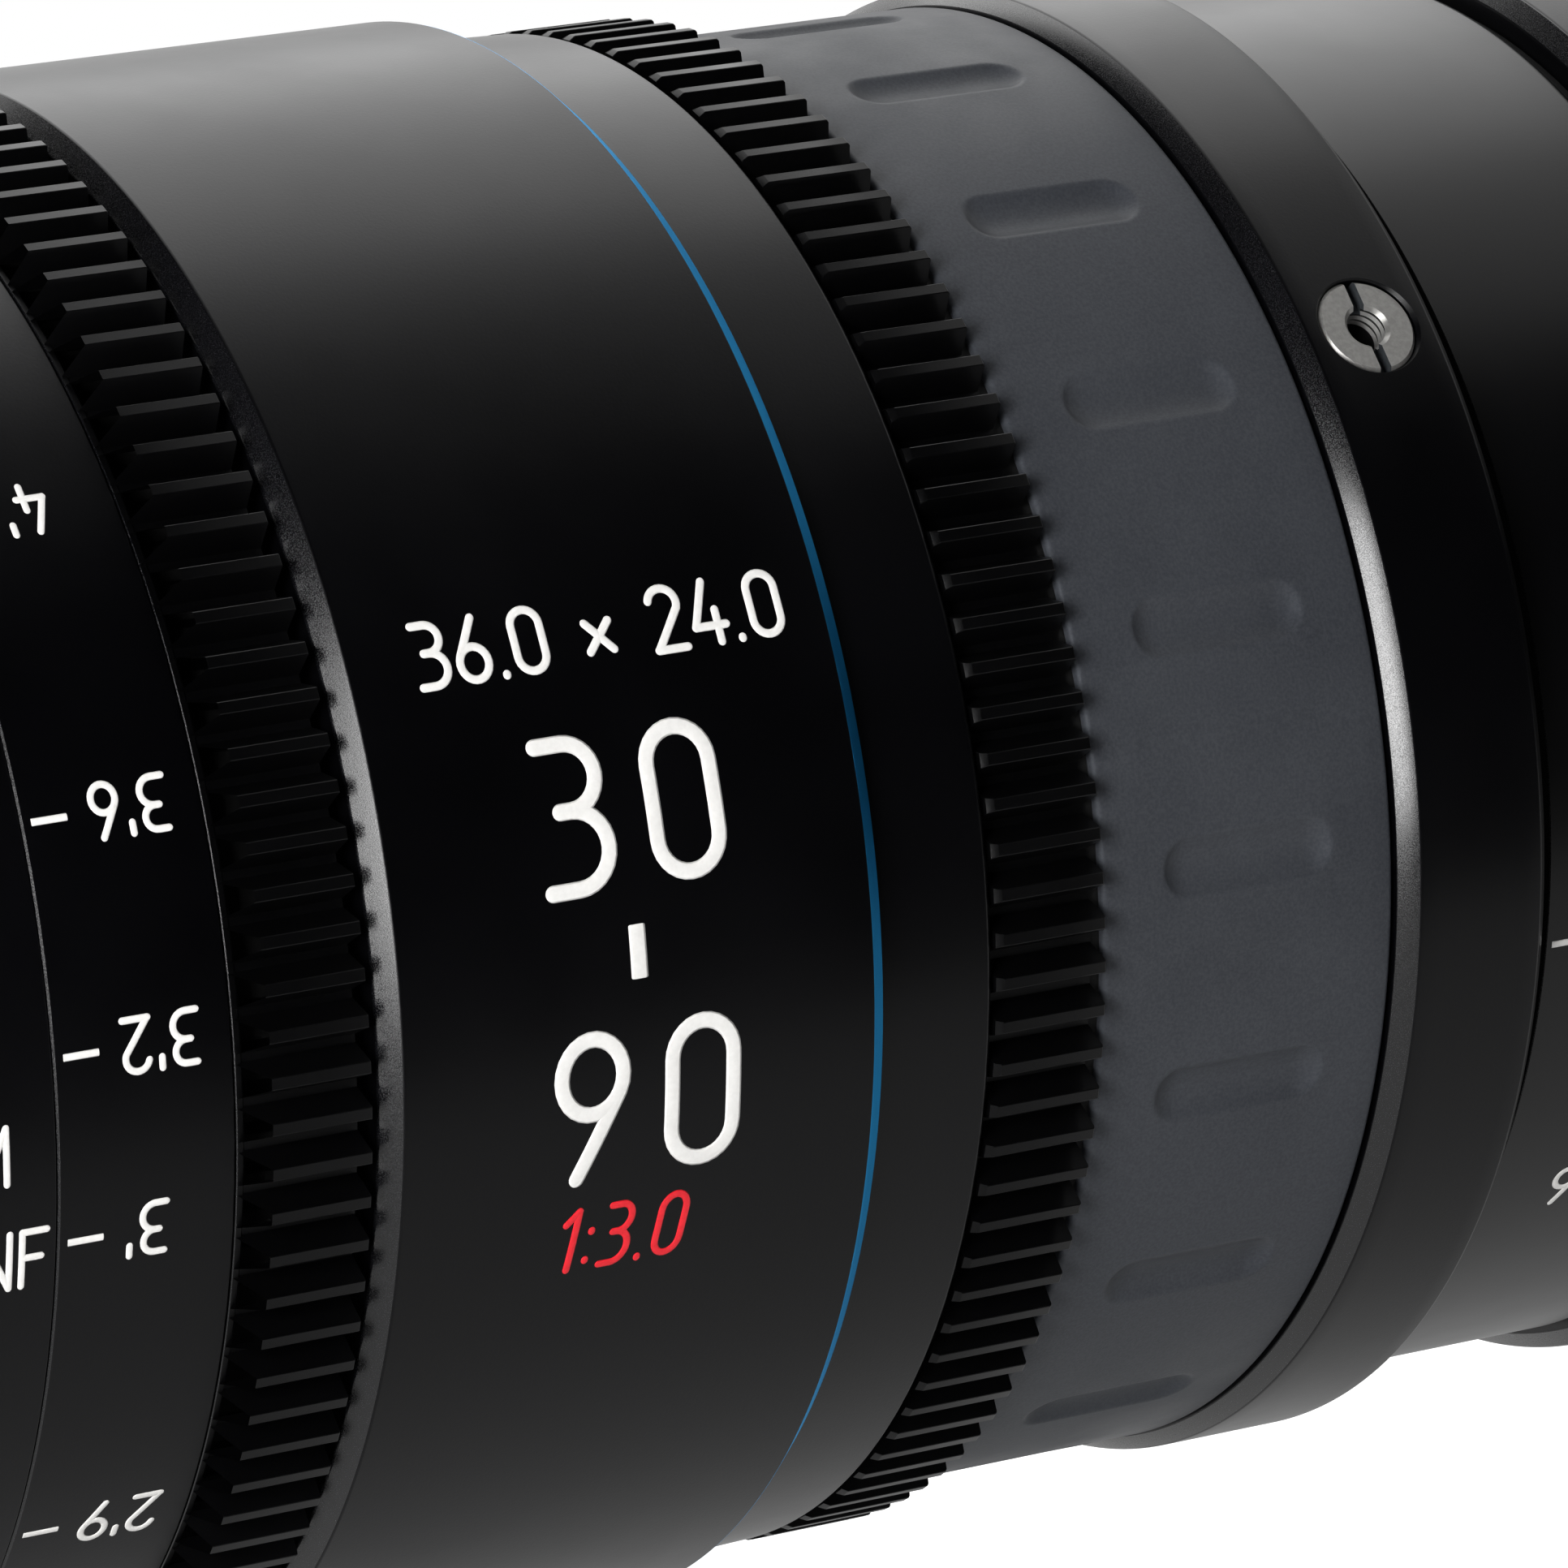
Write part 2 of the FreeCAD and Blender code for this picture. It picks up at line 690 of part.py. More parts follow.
# Mount and rear casing
def mount_flange():
    body = turned("mount_flange", [
        ("flangeFront", "relayTubeRadius"),
        ("flangeFront", "neckRadius"),
        ("0", "neckRadius"),
        ("0", "spigotRadius"),
        ("spigotLength - edgeBreak", "spigotRadius"),
        ("spigotLength", "spigotRadius - edgeBreak"),
        ("spigotLength", "relayTubeRadius"),
    ])
    lug_profile = outline_sketch(body, "lug_profile", [
        ("flangeFront", "neckRadius - edgeBreak"),
        ("flangeFront", "lugRadius"),
        ("0", "lugRadius"),
        ("0", "neckRadius - edgeBreak"),
    ])
    lug = body.newObject("PartDesign::Revolution", "lug")
    lug.Profile = lug_profile
    lug.ReferenceAxis = (origin_feature(body, "X_Axis"), [""])
    lug.Midplane = True
    lug.setExpression("Angle", bound("lugAngle"))
    repeat(body, lug, "lugs", "lugCount")
    notch = outline_sketch(body, "notch_profile", [
        ("-notchWidth / 2", "lugRadius - notchDepth"),
        ("notchWidth / 2", "lugRadius - notchDepth"),
        ("notchWidth / 2", "lugRadius + cutOverrun"),
        ("-notchWidth / 2", "lugRadius + cutOverrun"),
    ], plane="YZ_Plane")
    cut = body.newObject("PartDesign::Pocket", "notch")
    cut.Profile = notch
    cut.Midplane = True
    cut.setExpression("Length", bound("2 * (flangeThickness + cutOverrun)"))
    screw_holes(body, "flangeFront", "0", countersunk=True)


def screw_holes(body, front, rear, countersunk=False):
    """Holes for the mount screws, with a seat for their heads in the mount flange."""
    height = "screwPitchRadius"
    wide = "screwRadius + screwClearance"
    outline = [(front, height), (front, height + " + " + wide)]
    if countersunk:
        outline.append((rear + " - screwHeadDepth", height + " + " + wide))
        outline.append((rear, height + " + screwHeadRadius + screwClearance"))
    else:
        outline.append((rear, height + " + " + wide))
    outline.append((rear, height))
    axis = ((front, height), (rear, height))
    grooved(body, body.Name + "_screw_hole", outline, axis=axis, count="screwCount")


def mount_screws():
    screws = []
    for index in range(int(number("screwCount"))):
        shank = cylinder_along("-screwLength", "screwRadius", "screwLength - screwHeadDepth / 2",
                               "screwPitchRadius")
        head = doc.addObject("Part::Cone", "screw_head")
        head.Placement = FreeCAD.Placement(Vector(), FreeCAD.Rotation(Vector(0, 1, 0), 90))
        head.setExpression("Radius1", bound("screwRadius"))
        head.setExpression("Radius2", bound("screwHeadRadius"))
        head.setExpression("Height", bound("screwHeadDepth"))
        head.setExpression("Placement.Base.x", bound("-screwHeadDepth"))
        head.setExpression("Placement.Base.z", bound("screwPitchRadius"))
        screw = joined("Part::Fuse", shank, head)
        screw.Placement = about_axis(index * 360 / number("screwCount"))
        screws.append(screw)
    group = doc.addObject("Part::Compound", "mount_screws")
    group.Links = screws
    keep(group, "mount_screws")


def rear_parts():
    mount_flange()
    casing = turned("rear_casing", [
        ("rearCaseFront", "mainOuter"),
        ("rearCaseFront", "rearCaseRadius - edgeBreak"),
        ("rearCaseFront + edgeBreak", "rearCaseRadius"),
        ("coneFront", "rearCaseRadius"),
        ("neckFront", "rearConeRadius"),
        ("neckFront", "neckRadius"),
        ("flangeFront", "neckRadius"),
        ("flangeFront", "neckBore"),
        ("neckFront - rearPlateThickness", "neckBore"),
        ("neckFront - rearPlateThickness", "mainBore"),
        ("mainRear", "mainBore"),
        ("mainRear", "mainOuter"),
    ])
    screw_holes(casing, "-screwLength - screwHoleSpare", "flangeFront")
    mount_screws()


# Fixed tubes
def main_barrel():
    body = turned("main_barrel", [
        ("mainFront", "mainBore"),
        ("mainFront", "mainOuter"),
        ("mainRear", "mainOuter"),
        ("mainRear", "mainBore"),
    ])
    slotted(body, "focus_slot", "focusSlotFront", "focusSlotRear",
            "focusPinRadius + slotClearance", "mainOuter + cutOverrun", 3)
    turning_slot(body, "key_slot", "keyX", "keyRadius", "zoomBack", "zoomForward", 2)
    turning_slot(body, "iris_slot", "(actuatorFront + actuatorRear) / 2", "irisPinRadius",
                 "0", "irisTurn", None)
    return body


def turning_slot(body, name, x, radius, back, forward, count):
    """Slot round the axis for a pin that turns from -back to +forward, its own width to spare."""
    half = "(%s + slotClearance)" % radius
    ends = "2 * %s / mainBore * 180 / pi + slotEndSpare" % half
    sweep = "%s + %s + %s" % (back, forward, ends)
    cut = grooved(body, name, [
        ("%s - %s" % (x, half), "mainBore - cutOverrun"),
        ("%s - %s" % (x, half), "mainOuter + cutOverrun"),
        ("%s + %s" % (x, half), "mainOuter + cutOverrun"),
        ("%s + %s" % (x, half), "mainBore - cutOverrun"),
    ], sweep=sweep)
    profile = cut.Profile[0]
    middle = number("(%s - %s) / 2" % (forward, back))
    profile.AttachmentOffset = FreeCAD.Placement(Vector(), FreeCAD.Rotation(Vector(-1, 0, 0), middle))
    if count:
        repeat(body, cut, name + "_round", count)


def guide_barrel():
    body = turned("guide_barrel", [
        ("camLockFront", "guideBore"),
        ("camLockFront", "guideOuter"),
        ("guideFlangeFront", "guideOuter"),
        ("guideFlangeFront", "mainBore"),
        ("guideRear", "mainBore"),
        ("guideRear", "guideBore"),
    ])
    slotted(body, "variator_slot", "variatorSlotFront", "variatorSlotRear",
            "camPinRadius + slotClearance", "camBore + cutOverrun", 3)
    slotted(body, "compensator_slot", "compensatorSlotFront", "compensatorSlotRear",
            "camPinRadius + slotClearance", "camBore + cutOverrun", 3)
    tube("cam_lock_ring", "camLockFront", "camLockFront + camLock", "guideOuter", "mainBore")


def casings():
    turned("front_barrel", [
        ("frontRim", "filterRadius"),
        ("frontRim", "frontRadius - edgeBreak"),
        ("frontRim + edgeBreak", "frontRadius"),
        ("collarRear - edgeBreak", "frontRadius"),
        ("collarRear", "frontRadius - edgeBreak"),
        ("collarRear", "mainOuter"),
        ("mainFront", "mainOuter"),
        ("mainFront", "trimRadius"),
        ("mainFront - trimThickness", "trimRadius"),
        ("mainFront - trimThickness", "filterRadius"),
    ])
    turned("front_trim_ring", [
        ("mainFront - trimThickness", "trimRadius - trimWidth + trimBevel"),
        ("mainFront - trimThickness", "trimRadius"),
        ("mainFront", "trimRadius"),
        ("mainFront", "trimRadius - trimWidth"),
    ])
    radial_pins("collar_screws", "collarRear - collarScrewInset", "mainOuter",
                "frontRadius - collarScrewSink", "collarScrewRadius", "collarScrewCount", 90)
    turned("centre_casing", [
        ("casingFront", "mainOuter"),
        ("casingFront", "casingFrontRadius"),
        ("casingFront + casingChamfer", "casingRadius"),
        ("accentFront", "casingRadius"),
        ("accentFront", "casingBore"),
        ("casingFront + ribLength", "casingBore"),
        ("casingFront + ribLength", "mainOuter"),
    ])
    turned("accent_ring", [
        ("accentFront", "casingBore"),
        ("accentFront", "casingRadius"),
        ("casingBandFront", "accentRearRadius"),
        ("casingBandFront", "casingBore"),
    ])
    turned("casing_band", [
        ("accentFront - tongueLength", "tongueRadius"),
        ("accentFront - tongueLength", "casingBore"),
        ("casingBandFront", "casingBore"),
        ("casingBandFront", "casingBandRadius"),
        ("casingBandRear - edgeBreak", "casingBandRadius - casingBandTaper"),
        ("casingBandRear", "casingBandRadius - casingBandTaper - edgeBreak"),
        ("casingBandRear", "mainOuter"),
        ("casingBandRear - ribLength", "mainOuter"),
        ("casingBandRear - ribLength", "tongueRadius"),
    ])
    turned("rear_barrel", [
        ("rearBarrelFront", "mainOuter"),
        ("rearBarrelFront", "rearBarrelRadius - barrelReliefDepth"),
        ("rearBarrelFront + barrelReliefLength", "rearBarrelRadius - barrelReliefDepth"),
        ("rearBarrelFront + barrelReliefLength", "rearBarrelRadius - edgeBreak / 2"),
        ("rearBarrelFront + barrelReliefLength + edgeBreak / 2", "rearBarrelRadius"),
        ("rearBarrelRear - rearBarrelRound", "rearBarrelRadius"),
        ("rearBarrelRear", "rearBarrelRadius - rearBarrelRound"),
        ("rearBarrelRear", "mainOuter"),
    ])


# Low-friction washers that hold each ring along the axis
def washer_pair(label, front_gap, rear_gap):
    rings = []
    for front, rear in (front_gap, rear_gap):
        length = "%s - (%s)" % (rear, front)
        disc = cylinder_along(front, "washerRadius", length)
        hole = cylinder_along(front, "mainOuter", length)
        rings.append(joined("Part::Cut", disc, hole))
    group = doc.addObject("Part::Compound", label)
    group.Links = rings
    keep(group, label)


def washers():
    washer_pair("focus_washers",
                ("collarRear", "focusSleeveFront - washerClearance"),
                ("focusRear + washerClearance", "casingFront"))
    washer_pair("zoom_washers",
                ("casingBandRear", "zoomGearFront - washerClearance"),
                ("zoomFlangeRear + washerClearance", "rearBarrelFront"))
    washer_pair("iris_washers",
                ("rearBarrelRear", "irisFront - washerClearance"),
                ("irisRear + washerClearance", "rearCaseFront"))


# Focus ring and its cell
def focus_parts():
    shaped("focus_gear", toothed_ring(
        int(number("focusTeeth")), number("focusSeatRadius"),
        number("focusGearFront"), number("focusRear"),
        (number("focusToothBevel"), number("toothDepth")),
        (number("toothRearBreak"), number("toothRearBreak")),
    ))
    tube("focus_scale_ring", "focusBandFront", "focusGearFront", "focusSeatRadius", "focusBandRadius",
         front_break="edgeBreak / 3", rear_break="edgeBreak")
    tube("focus_sleeve", "focusSleeveFront", "focusSleeveRear", "focusSeatRadius", "focusBandRadius",
         front_break="edgeBreak", rear_break="edgeBreak / 3")
    sleeve = PlainRing("ringBore", "focusSeatRadius", "focusSleeveFront", "focusRear")
    for index in range(3):
        cut_cam_slot(sleeve, number("focusPinX"), -number("focusRate"), number("focusBack"),
                     number("focusForward"), number("focusPinRadius"), 90 + 120 * index)
    shaped("focus_cam_sleeve", sleeve.solid)
    cell_rear = "focusCellFront + focusCellLength"
    glass_rear = "focusCellFront + frontGlassInset + frontGlassThickness"
    turned("focus_cell", [
        ("focusCellFront", "frontGlassRadius + focusCellFlare"),
        ("focusCellFront", "cellOuter"),
        (cell_rear, "cellOuter"),
        (cell_rear, "secondGlassRadius"),
        (cell_rear + " - lockRingLength - secondGlassThickness", "secondGlassRadius"),
        (cell_rear + " - lockRingLength - secondGlassThickness", "secondGlassRadius - glassWall"),
        (glass_rear, "secondGlassRadius - glassWall"),
        (glass_rear, "frontGlassRadius"),
        ("focusCellFront + frontGlassInset", "frontGlassRadius"),
    ])
    lens_element("front_element", "focusCellFront + frontGlassInset", "frontGlassThickness",
                 "frontGlassRadius", "frontGlassBulge", "-frontGlassRearSag")
    lens_element("second_element", cell_rear + " - lockRingLength - secondGlassThickness",
                 "secondGlassThickness", "secondGlassRadius", "-secondGlassBulge", "secondGlassBulge")
    tube("focus_lock_ring", cell_rear + " - lockRingLength", cell_rear,
         "secondGlassRadius - lockRingWall", "secondGlassRadius")
    radial_pins("focus_followers", "focusPinX", "secondGlassRadius + followerRoot",
                "focusSeatRadius - focusPinSink", "focusPinRadius", 3, 90)


# Zoom ring and the two moving groups
def zoom_parts():
    turned("zoom_carrier", [
        ("zoomGearFront", "ringBore"),
        ("zoomGearFront", "zoomSeatRadius - zoomGearStep"),
        ("zoomGearRear", "zoomSeatRadius - zoomGearStep"),
        ("zoomGearRear", "zoomRoot - zoomLipDrop"),
        ("gripFront", "zoomRoot - zoomLipDrop"),
        ("gripFront", "zoomSeatRadius"),
        ("zoomFlangeRear", "zoomSeatRadius"),
        ("zoomFlangeRear", "ringBore"),
    ])
    chamfer = number("toothChamfer")
    rear_break = number("toothRearBreak")
    shaped("zoom_gear", toothed_ring(
        int(number("zoomTeeth")), number("zoomSeatRadius - zoomGearStep"),
        number("zoomGearFront"), number("zoomGearRear"), (chamfer, chamfer), (rear_break, rear_break),
    ))
    grip = tube("zoom_grip", "gripFront", "gripRear", "zoomSeatRadius", "gripRadius",
                front_break="edgeBreak", rear_break="edgeBreak")
    height = "(gripRadius + dimpleToolRadius - dimpleDepth)"
    middle = "(gripFront + gripRear) / 2"
    reach = "dimpleLength / 2"
    corners = []
    steps = 4
    for index in range(steps + 1):
        angle = 90 * index / steps
        corners.append(("%s - %s + dimpleToolRadius * (1 - cos(90 - %g))" % (middle, reach, 90 - angle),
                        "%s - dimpleToolRadius * sin(%g)" % (height, angle)))
    for index in range(steps, -1, -1):
        angle = 90 * index / steps
        corners.append(("%s + %s - dimpleToolRadius * (1 - cos(90 - %g))" % (middle, reach, 90 - angle),
                        "%s - dimpleToolRadius * sin(%g)" % (height, angle)))
    axis = (("%s - %s" % (middle, reach), height), ("%s + %s" % (middle, reach), height))
    grooved(grip, "dimple", corners, axis=axis, count="dimpleCount")
    grip.Placement = about_axis(1)
    grip.setExpression("Placement.Rotation.Angle", bound("dimplePhase"))
    flange = turned("zoom_flange_ring", [
        ("zoomFlangeFront", "zoomSeatRadius"),
        ("zoomFlangeFront", "zoomFlangeRadius - flangeFrontDrop"),
        ("zoomFlangeFront + flangeFrontChamfer", "zoomFlangeRadius"),
        ("zoomFlangeRear - flangeRearChamfer", "zoomFlangeRadius"),
        ("zoomFlangeRear", "zoomFlangeRadius - flangeRearChamfer"),
        ("zoomFlangeRear", "zoomSeatRadius"),
    ])
    socket_x = "(zoomFlangeRear - socketInset)"
    floor = "(zoomFlangeRadius - socketDepth)"
    seat_top = "zoomFlangeRadius - socketSink + socketFlareHeight"
    grooved(flange, "socket_seat", [
        (socket_x, floor),
        (socket_x + " + socketRadius", floor),
        (socket_x + " + socketRadius", "zoomFlangeRadius - socketSink"),
        (socket_x + " + socketRadius + socketFlare", seat_top),
        (socket_x, seat_top),
    ], axis=((socket_x, floor), (socket_x, "zoomFlangeRadius")), count="socketCount")
    flange.Placement = about_axis(1)
    flange.setExpression("Placement.Rotation.Angle", bound("socketPhase"))
    lever_sockets()
    cam_barrel()
    radial_pins("zoom_keys", "keyX", "camBore + keyRoot", "zoomSeatRadius - keySink", "keyRadius", 2, 90)
    moving_cell("variator", "variatorFront", "variatorLength", "variatorGlassRadius",
                "variatorGlassThickness", "-variatorGlassSag", "-variatorGlassSag")
    moving_cell("compensator", "compensatorFront", "compensatorLength", "compensatorGlassRadius",
                "compensatorGlassThickness", "compensatorGlassBulge", "compensatorGlassBulge")


def lever_sockets():
    """Threaded inserts for the zoom lever, each with a driver slot across its face."""
    inserts = []
    count = int(number("socketCount"))
    for index in range(count):
        insert = doc.addObject("Part::Cylinder", "insert")
        insert.setExpression("Radius", bound("socketRadius"))
        insert.setExpression("Height", bound("socketDepth - socketSink"))
        bore = doc.addObject("Part::Cylinder", "insert_bore")
        bore.setExpression("Radius", bound("socketThreadRadius"))
        bore.setExpression("Height", bound("socketDepth - socketSink"))
        slot = doc.addObject("Part::Box", "insert_slot")
        slot.setExpression("Length", bound("socketSlotWidth"))
        slot.setExpression("Width", bound("2 * socketRadius"))
        slot.setExpression("Height", bound("socketSlotDepth"))
        slot.setExpression("Placement.Base.x", bound("-socketSlotWidth / 2"))
        slot.setExpression("Placement.Base.y", bound("-socketRadius"))
        slot.setExpression("Placement.Base.z", bound("socketDepth - socketSink - socketSlotDepth"))
        drilled = joined("Part::Cut", insert, bore)
        finished = joined("Part::Cut", drilled, slot)
        angle = index * 360 / count + number("socketPhase")
        place = Vector(number("zoomFlangeRear") - number("socketInset"), 0,
                       number("zoomFlangeRadius") - number("socketDepth"))
        finished.Placement = about_axis(angle).multiply(FreeCAD.Placement(place, FreeCAD.Rotation()))
        inserts.append(finished)
    group = doc.addObject("Part::Compound", "lever_sockets")
    group.Links = inserts
    keep(group, "lever_sockets")


def cam_barrel():
    barrel = PlainRing("camBore", "camOuter", "camFront", "camRear")
    back = number("zoomBack")
    forward = number("zoomForward")
    for index in range(3):
        angle = 90 + 120 * index
        for pin_x, rate in (("variatorPinX", number("variatorRate")),
                            ("compensatorPinX", -number("compensatorRate"))):
            cut_cam_slot(barrel, number(pin_x), rate, back, forward, number("camPinRadius"), angle)
    shaped("zoom_cam_barrel", barrel.solid)


def moving_cell(name, front, length, glass, thickness, front_bulge, rear_bulge):
    """Cell that slides in the guide barrel: two seats, one lock ring, three follower pins."""
    rear = "%s + %s" % (front, length)
    seat = "%s - lockRingLength - %s" % (rear, thickness)
    turned(name + "_cell", [
        (front, glass + " - glassWall"),
        (front, "zoomCellOuter"),
        (rear, "zoomCellOuter"),
        (rear, glass),
        (seat, glass),
        (seat, glass + " - glassWall"),
    ])
    lens_element(name + "_element", seat, thickness, glass, front_bulge, rear_bulge)
    tube(name + "_lock_ring", rear + " - lockRingLength", rear, glass + " - lockRingWall", glass)
    radial_pins(name + "_followers", name + "PinX", glass + " + followerRoot", "camOuter - camPinSink",
                "camPinRadius", 3, 90)


# Iris ring, actuator and blades
def iris_parts():
    turned("iris_ring", [
        ("irisFront", "ringBore"),
        ("irisFront", "irisBandRadius - irisChamfer"),
        ("irisFront + irisChamfer", "irisBandRadius"),
        ("irisGearFront - edgeBreak", "irisBandRadius"),
        ("irisGearFront", "irisBandRadius - edgeBreak"),
        ("irisGearFront", "ringBore"),
    ])
    chamfer = number("toothChamfer")
    bore = number("ringBore")
    gear = toothed_ring(int(number("irisTeeth")), bore, number("irisGearFront"), number("irisGearRear"),
                        (chamfer, chamfer), (chamfer, chamfer))
    band_front = number("irisGearRear")
    band_rear = number("irisRear")
    band_radius = number("irisBandRadius")
    edge = number("edgeBreak")
    band = turned_shape([(band_front, bore), (band_front, band_radius), (band_rear - edge, band_radius),
                         (band_rear, band_radius - edge), (band_rear, bore)])
    shaped("iris_gear", gear.fuse(band))
    middle = "(actuatorFront + actuatorRear) / 2"
    radial_pins("iris_drive_pin", middle, "actuatorOuter - irisPinEmbed", "ringBore + irisPinEmbed",
                "irisPinRadius", 1, 90)
    tube("iris_cover_plate", "coverPlateFront", "coverPlateRear", "aperture + coverPlateStep", "mainBore")
    base = tube("iris_base_plate", "basePlateFront", "basePlateRear", "aperture", "mainBore")
    pivot = "pivotRadius"
    grooved(base, "pivot_hole", [
        ("basePlateFront - cutOverrun", pivot),
        ("basePlateFront - cutOverrun", "pivotRadius + bladePin + slotClearance"),
        ("basePlateRear + cutOverrun", "pivotRadius + bladePin + slotClearance"),
        ("basePlateRear + cutOverrun", pivot),
    ], axis=(("basePlateFront", pivot), ("basePlateRear", pivot)), count="bladeCount")
    shaped("iris_actuator", actuator_shape())
    for index in range(int(number("bladeCount"))):
        shaped("iris_blade_%d" % (index + 1), blade_shape(index))


def drive_pin_angle():
    """Angle of a blade's drive pin behind its pivot when the iris is open."""
    pivot = number("pivotRadius")
    pin = number("drivePinRadius")
    reach = number("drivePinReach")
    return -math.degrees(math.acos((pin * pin + pivot * pivot - reach * reach) / (2 * pin * pivot)))


def drive_pin_place(share, x, phase):
    """Where the drive pin is in the actuator's own frame after a share of the full travel."""
    pivot = point(x, number("pivotRadius"), phase)
    pin = point(x, number("drivePinRadius"), phase + drive_pin_angle())
    closed = FreeCAD.Rotation(Vector(-1, 0, 0), share * number("bladeTurn"))
    moved = pivot + closed.multVec(pin - pivot)
    return FreeCAD.Rotation(Vector(-1, 0, 0), -share * number("irisTurn")).multVec(moved)


def actuator_shape():
    """Ring with one curved groove for each blade's drive pin."""
    front = number("actuatorFront")
    rear = number("actuatorRear")
    ring = turned_shape([
        (front, number("actuatorBore")), (front, number("actuatorOuter")),
        (rear, number("actuatorOuter")), (rear, number("actuatorBore")),
    ])
    half = number("bladePin") + number("slotClearance")
    floor = rear - number("actuatorGrooveDepth")
    depth = number("actuatorGrooveDepth + cutOverrun")
    steps = 8
    for index in range(int(number("bladeCount"))):
        phase = 90 + index * 360 / number("bladeCount")
        places = [drive_pin_place(step / steps, floor, phase) for step in range(steps + 1)]
        ring = ring.cut(groove_cutter(places, half, depth))
        for end in (places[0], places[-1]):
            ring = ring.cut(Part.makeCylinder(half, depth, end, Vector(1, 0, 0)))
    return ring


def groove_cutter(places, half, depth):
    """Constant-width cutter along a row of places, standing up along +X."""
    sides = ([], [])
    last = len(places) - 1
    for index, place in enumerate(places):
        along = places[min(index + 1, last)] - places[max(index - 1, 0)]
        across = along.cross(Vector(1, 0, 0)).normalize() * half
        sides[0].append(place + across)
        sides[1].append(place - across)
    curves = []
    for side in sides:
        curve = Part.BSplineCurve()
        curve.interpolate(side)
        curves.append(curve.toShape())
    caps = [Part.LineSegment(sides[0][end], sides[1][end]).toShape() for end in (0, last)]
    outline = Part.Wire(Part.sortEdges(curves + caps)[0])
    return Part.Face(outline).extrude(Vector(depth, 0, 0))


def sector(x, thickness, inner, outer, start, end):
    """Flat piece of a ring between two angles."""
    middle = (start + end) / 2
    edges = [
        Part.Arc(point(x, outer, start), point(x, outer, middle), point(x, outer, end)).toShape(),
        Part.LineSegment(point(x, outer, end), point(x, inner, end)).toShape(),
        Part.Arc(point(x, inner, end), point(x, inner, middle), point(x, inner, start)).toShape(),
        Part.LineSegment(point(x, inner, start), point(x, outer, start)).toShape(),
    ]
    return Part.Face(Part.Wire(edges)).extrude(Vector(thickness, 0, 0))


def blade_shape(index):
    """Curved blade in its own layer, with its pivot pin behind it and its drive pin in front."""
    phase = 90 + index * 360 / number("bladeCount")
    x = number("bladeStackFront + bladeLayerGap") + index * number("bladePitch")
    thickness = number("bladeThickness")
    pin_radius = number("bladePin")
    pivot_radius = number("pivotRadius")
    drive_angle = drive_pin_angle()
    blade = sector(x, thickness, number("aperture + bladeEdgeStep"), number("bladeOuter"),
                   phase - number("bladeLead"), phase + number("bladeSpan"))
    foot = sector(x, thickness, number("bladeOuter - bladeFootLap"), number("pivotRadius + bladeFootRise"),
                  phase + drive_angle - number("bladeFootBack"), phase + number("bladeFootLead"))
    blade = blade.fuse(foot)
    pivot = point(x, pivot_radius, phase)
    rear = number("basePlateRear") - x
    blade = blade.fuse(Part.makeCylinder(pin_radius, rear, pivot, Vector(1, 0, 0)))
    drive = point(x + thickness, number("drivePinRadius"), phase + drive_angle)
    front = drive.x - number("actuatorRear - actuatorGrooveDepth + drivePinGap")
    blade = blade.fuse(Part.makeCylinder(pin_radius, front, drive, Vector(-1, 0, 0)))
    return blade.removeSplitter()


# Rear lens group, fixed in the main barrel and the mount's spigot
def relay_parts():
    turned("relay_cell", [
        ("relayFlangeFront", "relayBore"),
        ("relayFlangeFront", "mainBore"),
        ("relayFlangeFront + relayFlangeLength", "mainBore"),
        ("relayFlangeFront + relayFlangeLength", "relayTubeRadius"),
        ("relayRear", "relayTubeRadius"),
        ("relayRear", "relayBore"),
    ])
    lens_element("relay_element", "relayFlangeFront + relaySeatInset", "relayGlassThickness",
                 "relayBore", "relayGlassBulge", "relayGlassBulge")
    tube("relay_spacer", "relayFlangeFront + relaySeatInset + relayGlassThickness",
         "relayRear - lockRingLength - rearGlassThickness", "relayBore - glassWall", "relayBore")
    lens_element("rear_element", "relayRear - lockRingLength - rearGlassThickness",
                 "rearGlassThickness", "relayBore", "-relayGlassBulge / 2", "relayGlassBulge / 2")
    tube("rear_lock_ring", "relayRear - lockRingLength", "relayRear", "relayBore - lockRingWall", "relayBore")


rear_parts()
main_barrel()
guide_barrel()
casings()
washers()
focus_parts()
zoom_parts()
iris_parts()
relay_parts()

doc.recompute()

broken = [thing.Name for thing in doc.Objects if "Invalid" in thing.State or "Error" in thing.State]
broken += [piece.Label for piece in nodes if piece.Shape.isNull() or not piece.Shape.isValid()]
if broken:
    raise RuntimeError("did not build: " + ", ".join(broken))

os.makedirs("parts", exist_ok=True)
for piece in nodes:
    piece.Shape.exportStep("parts/%s.step" % piece.Label)
    box = piece.Shape.BoundBox
    print("%-20s solids %d volume %9.1f x %7.2f..%7.2f" % (
        piece.Label, len(piece.Shape.Solids), piece.Shape.Volume, box.XMin, box.XMax))
print("nodes", len(nodes))
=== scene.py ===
import bpy, bmesh, math
from mathutils import Matrix, Vector


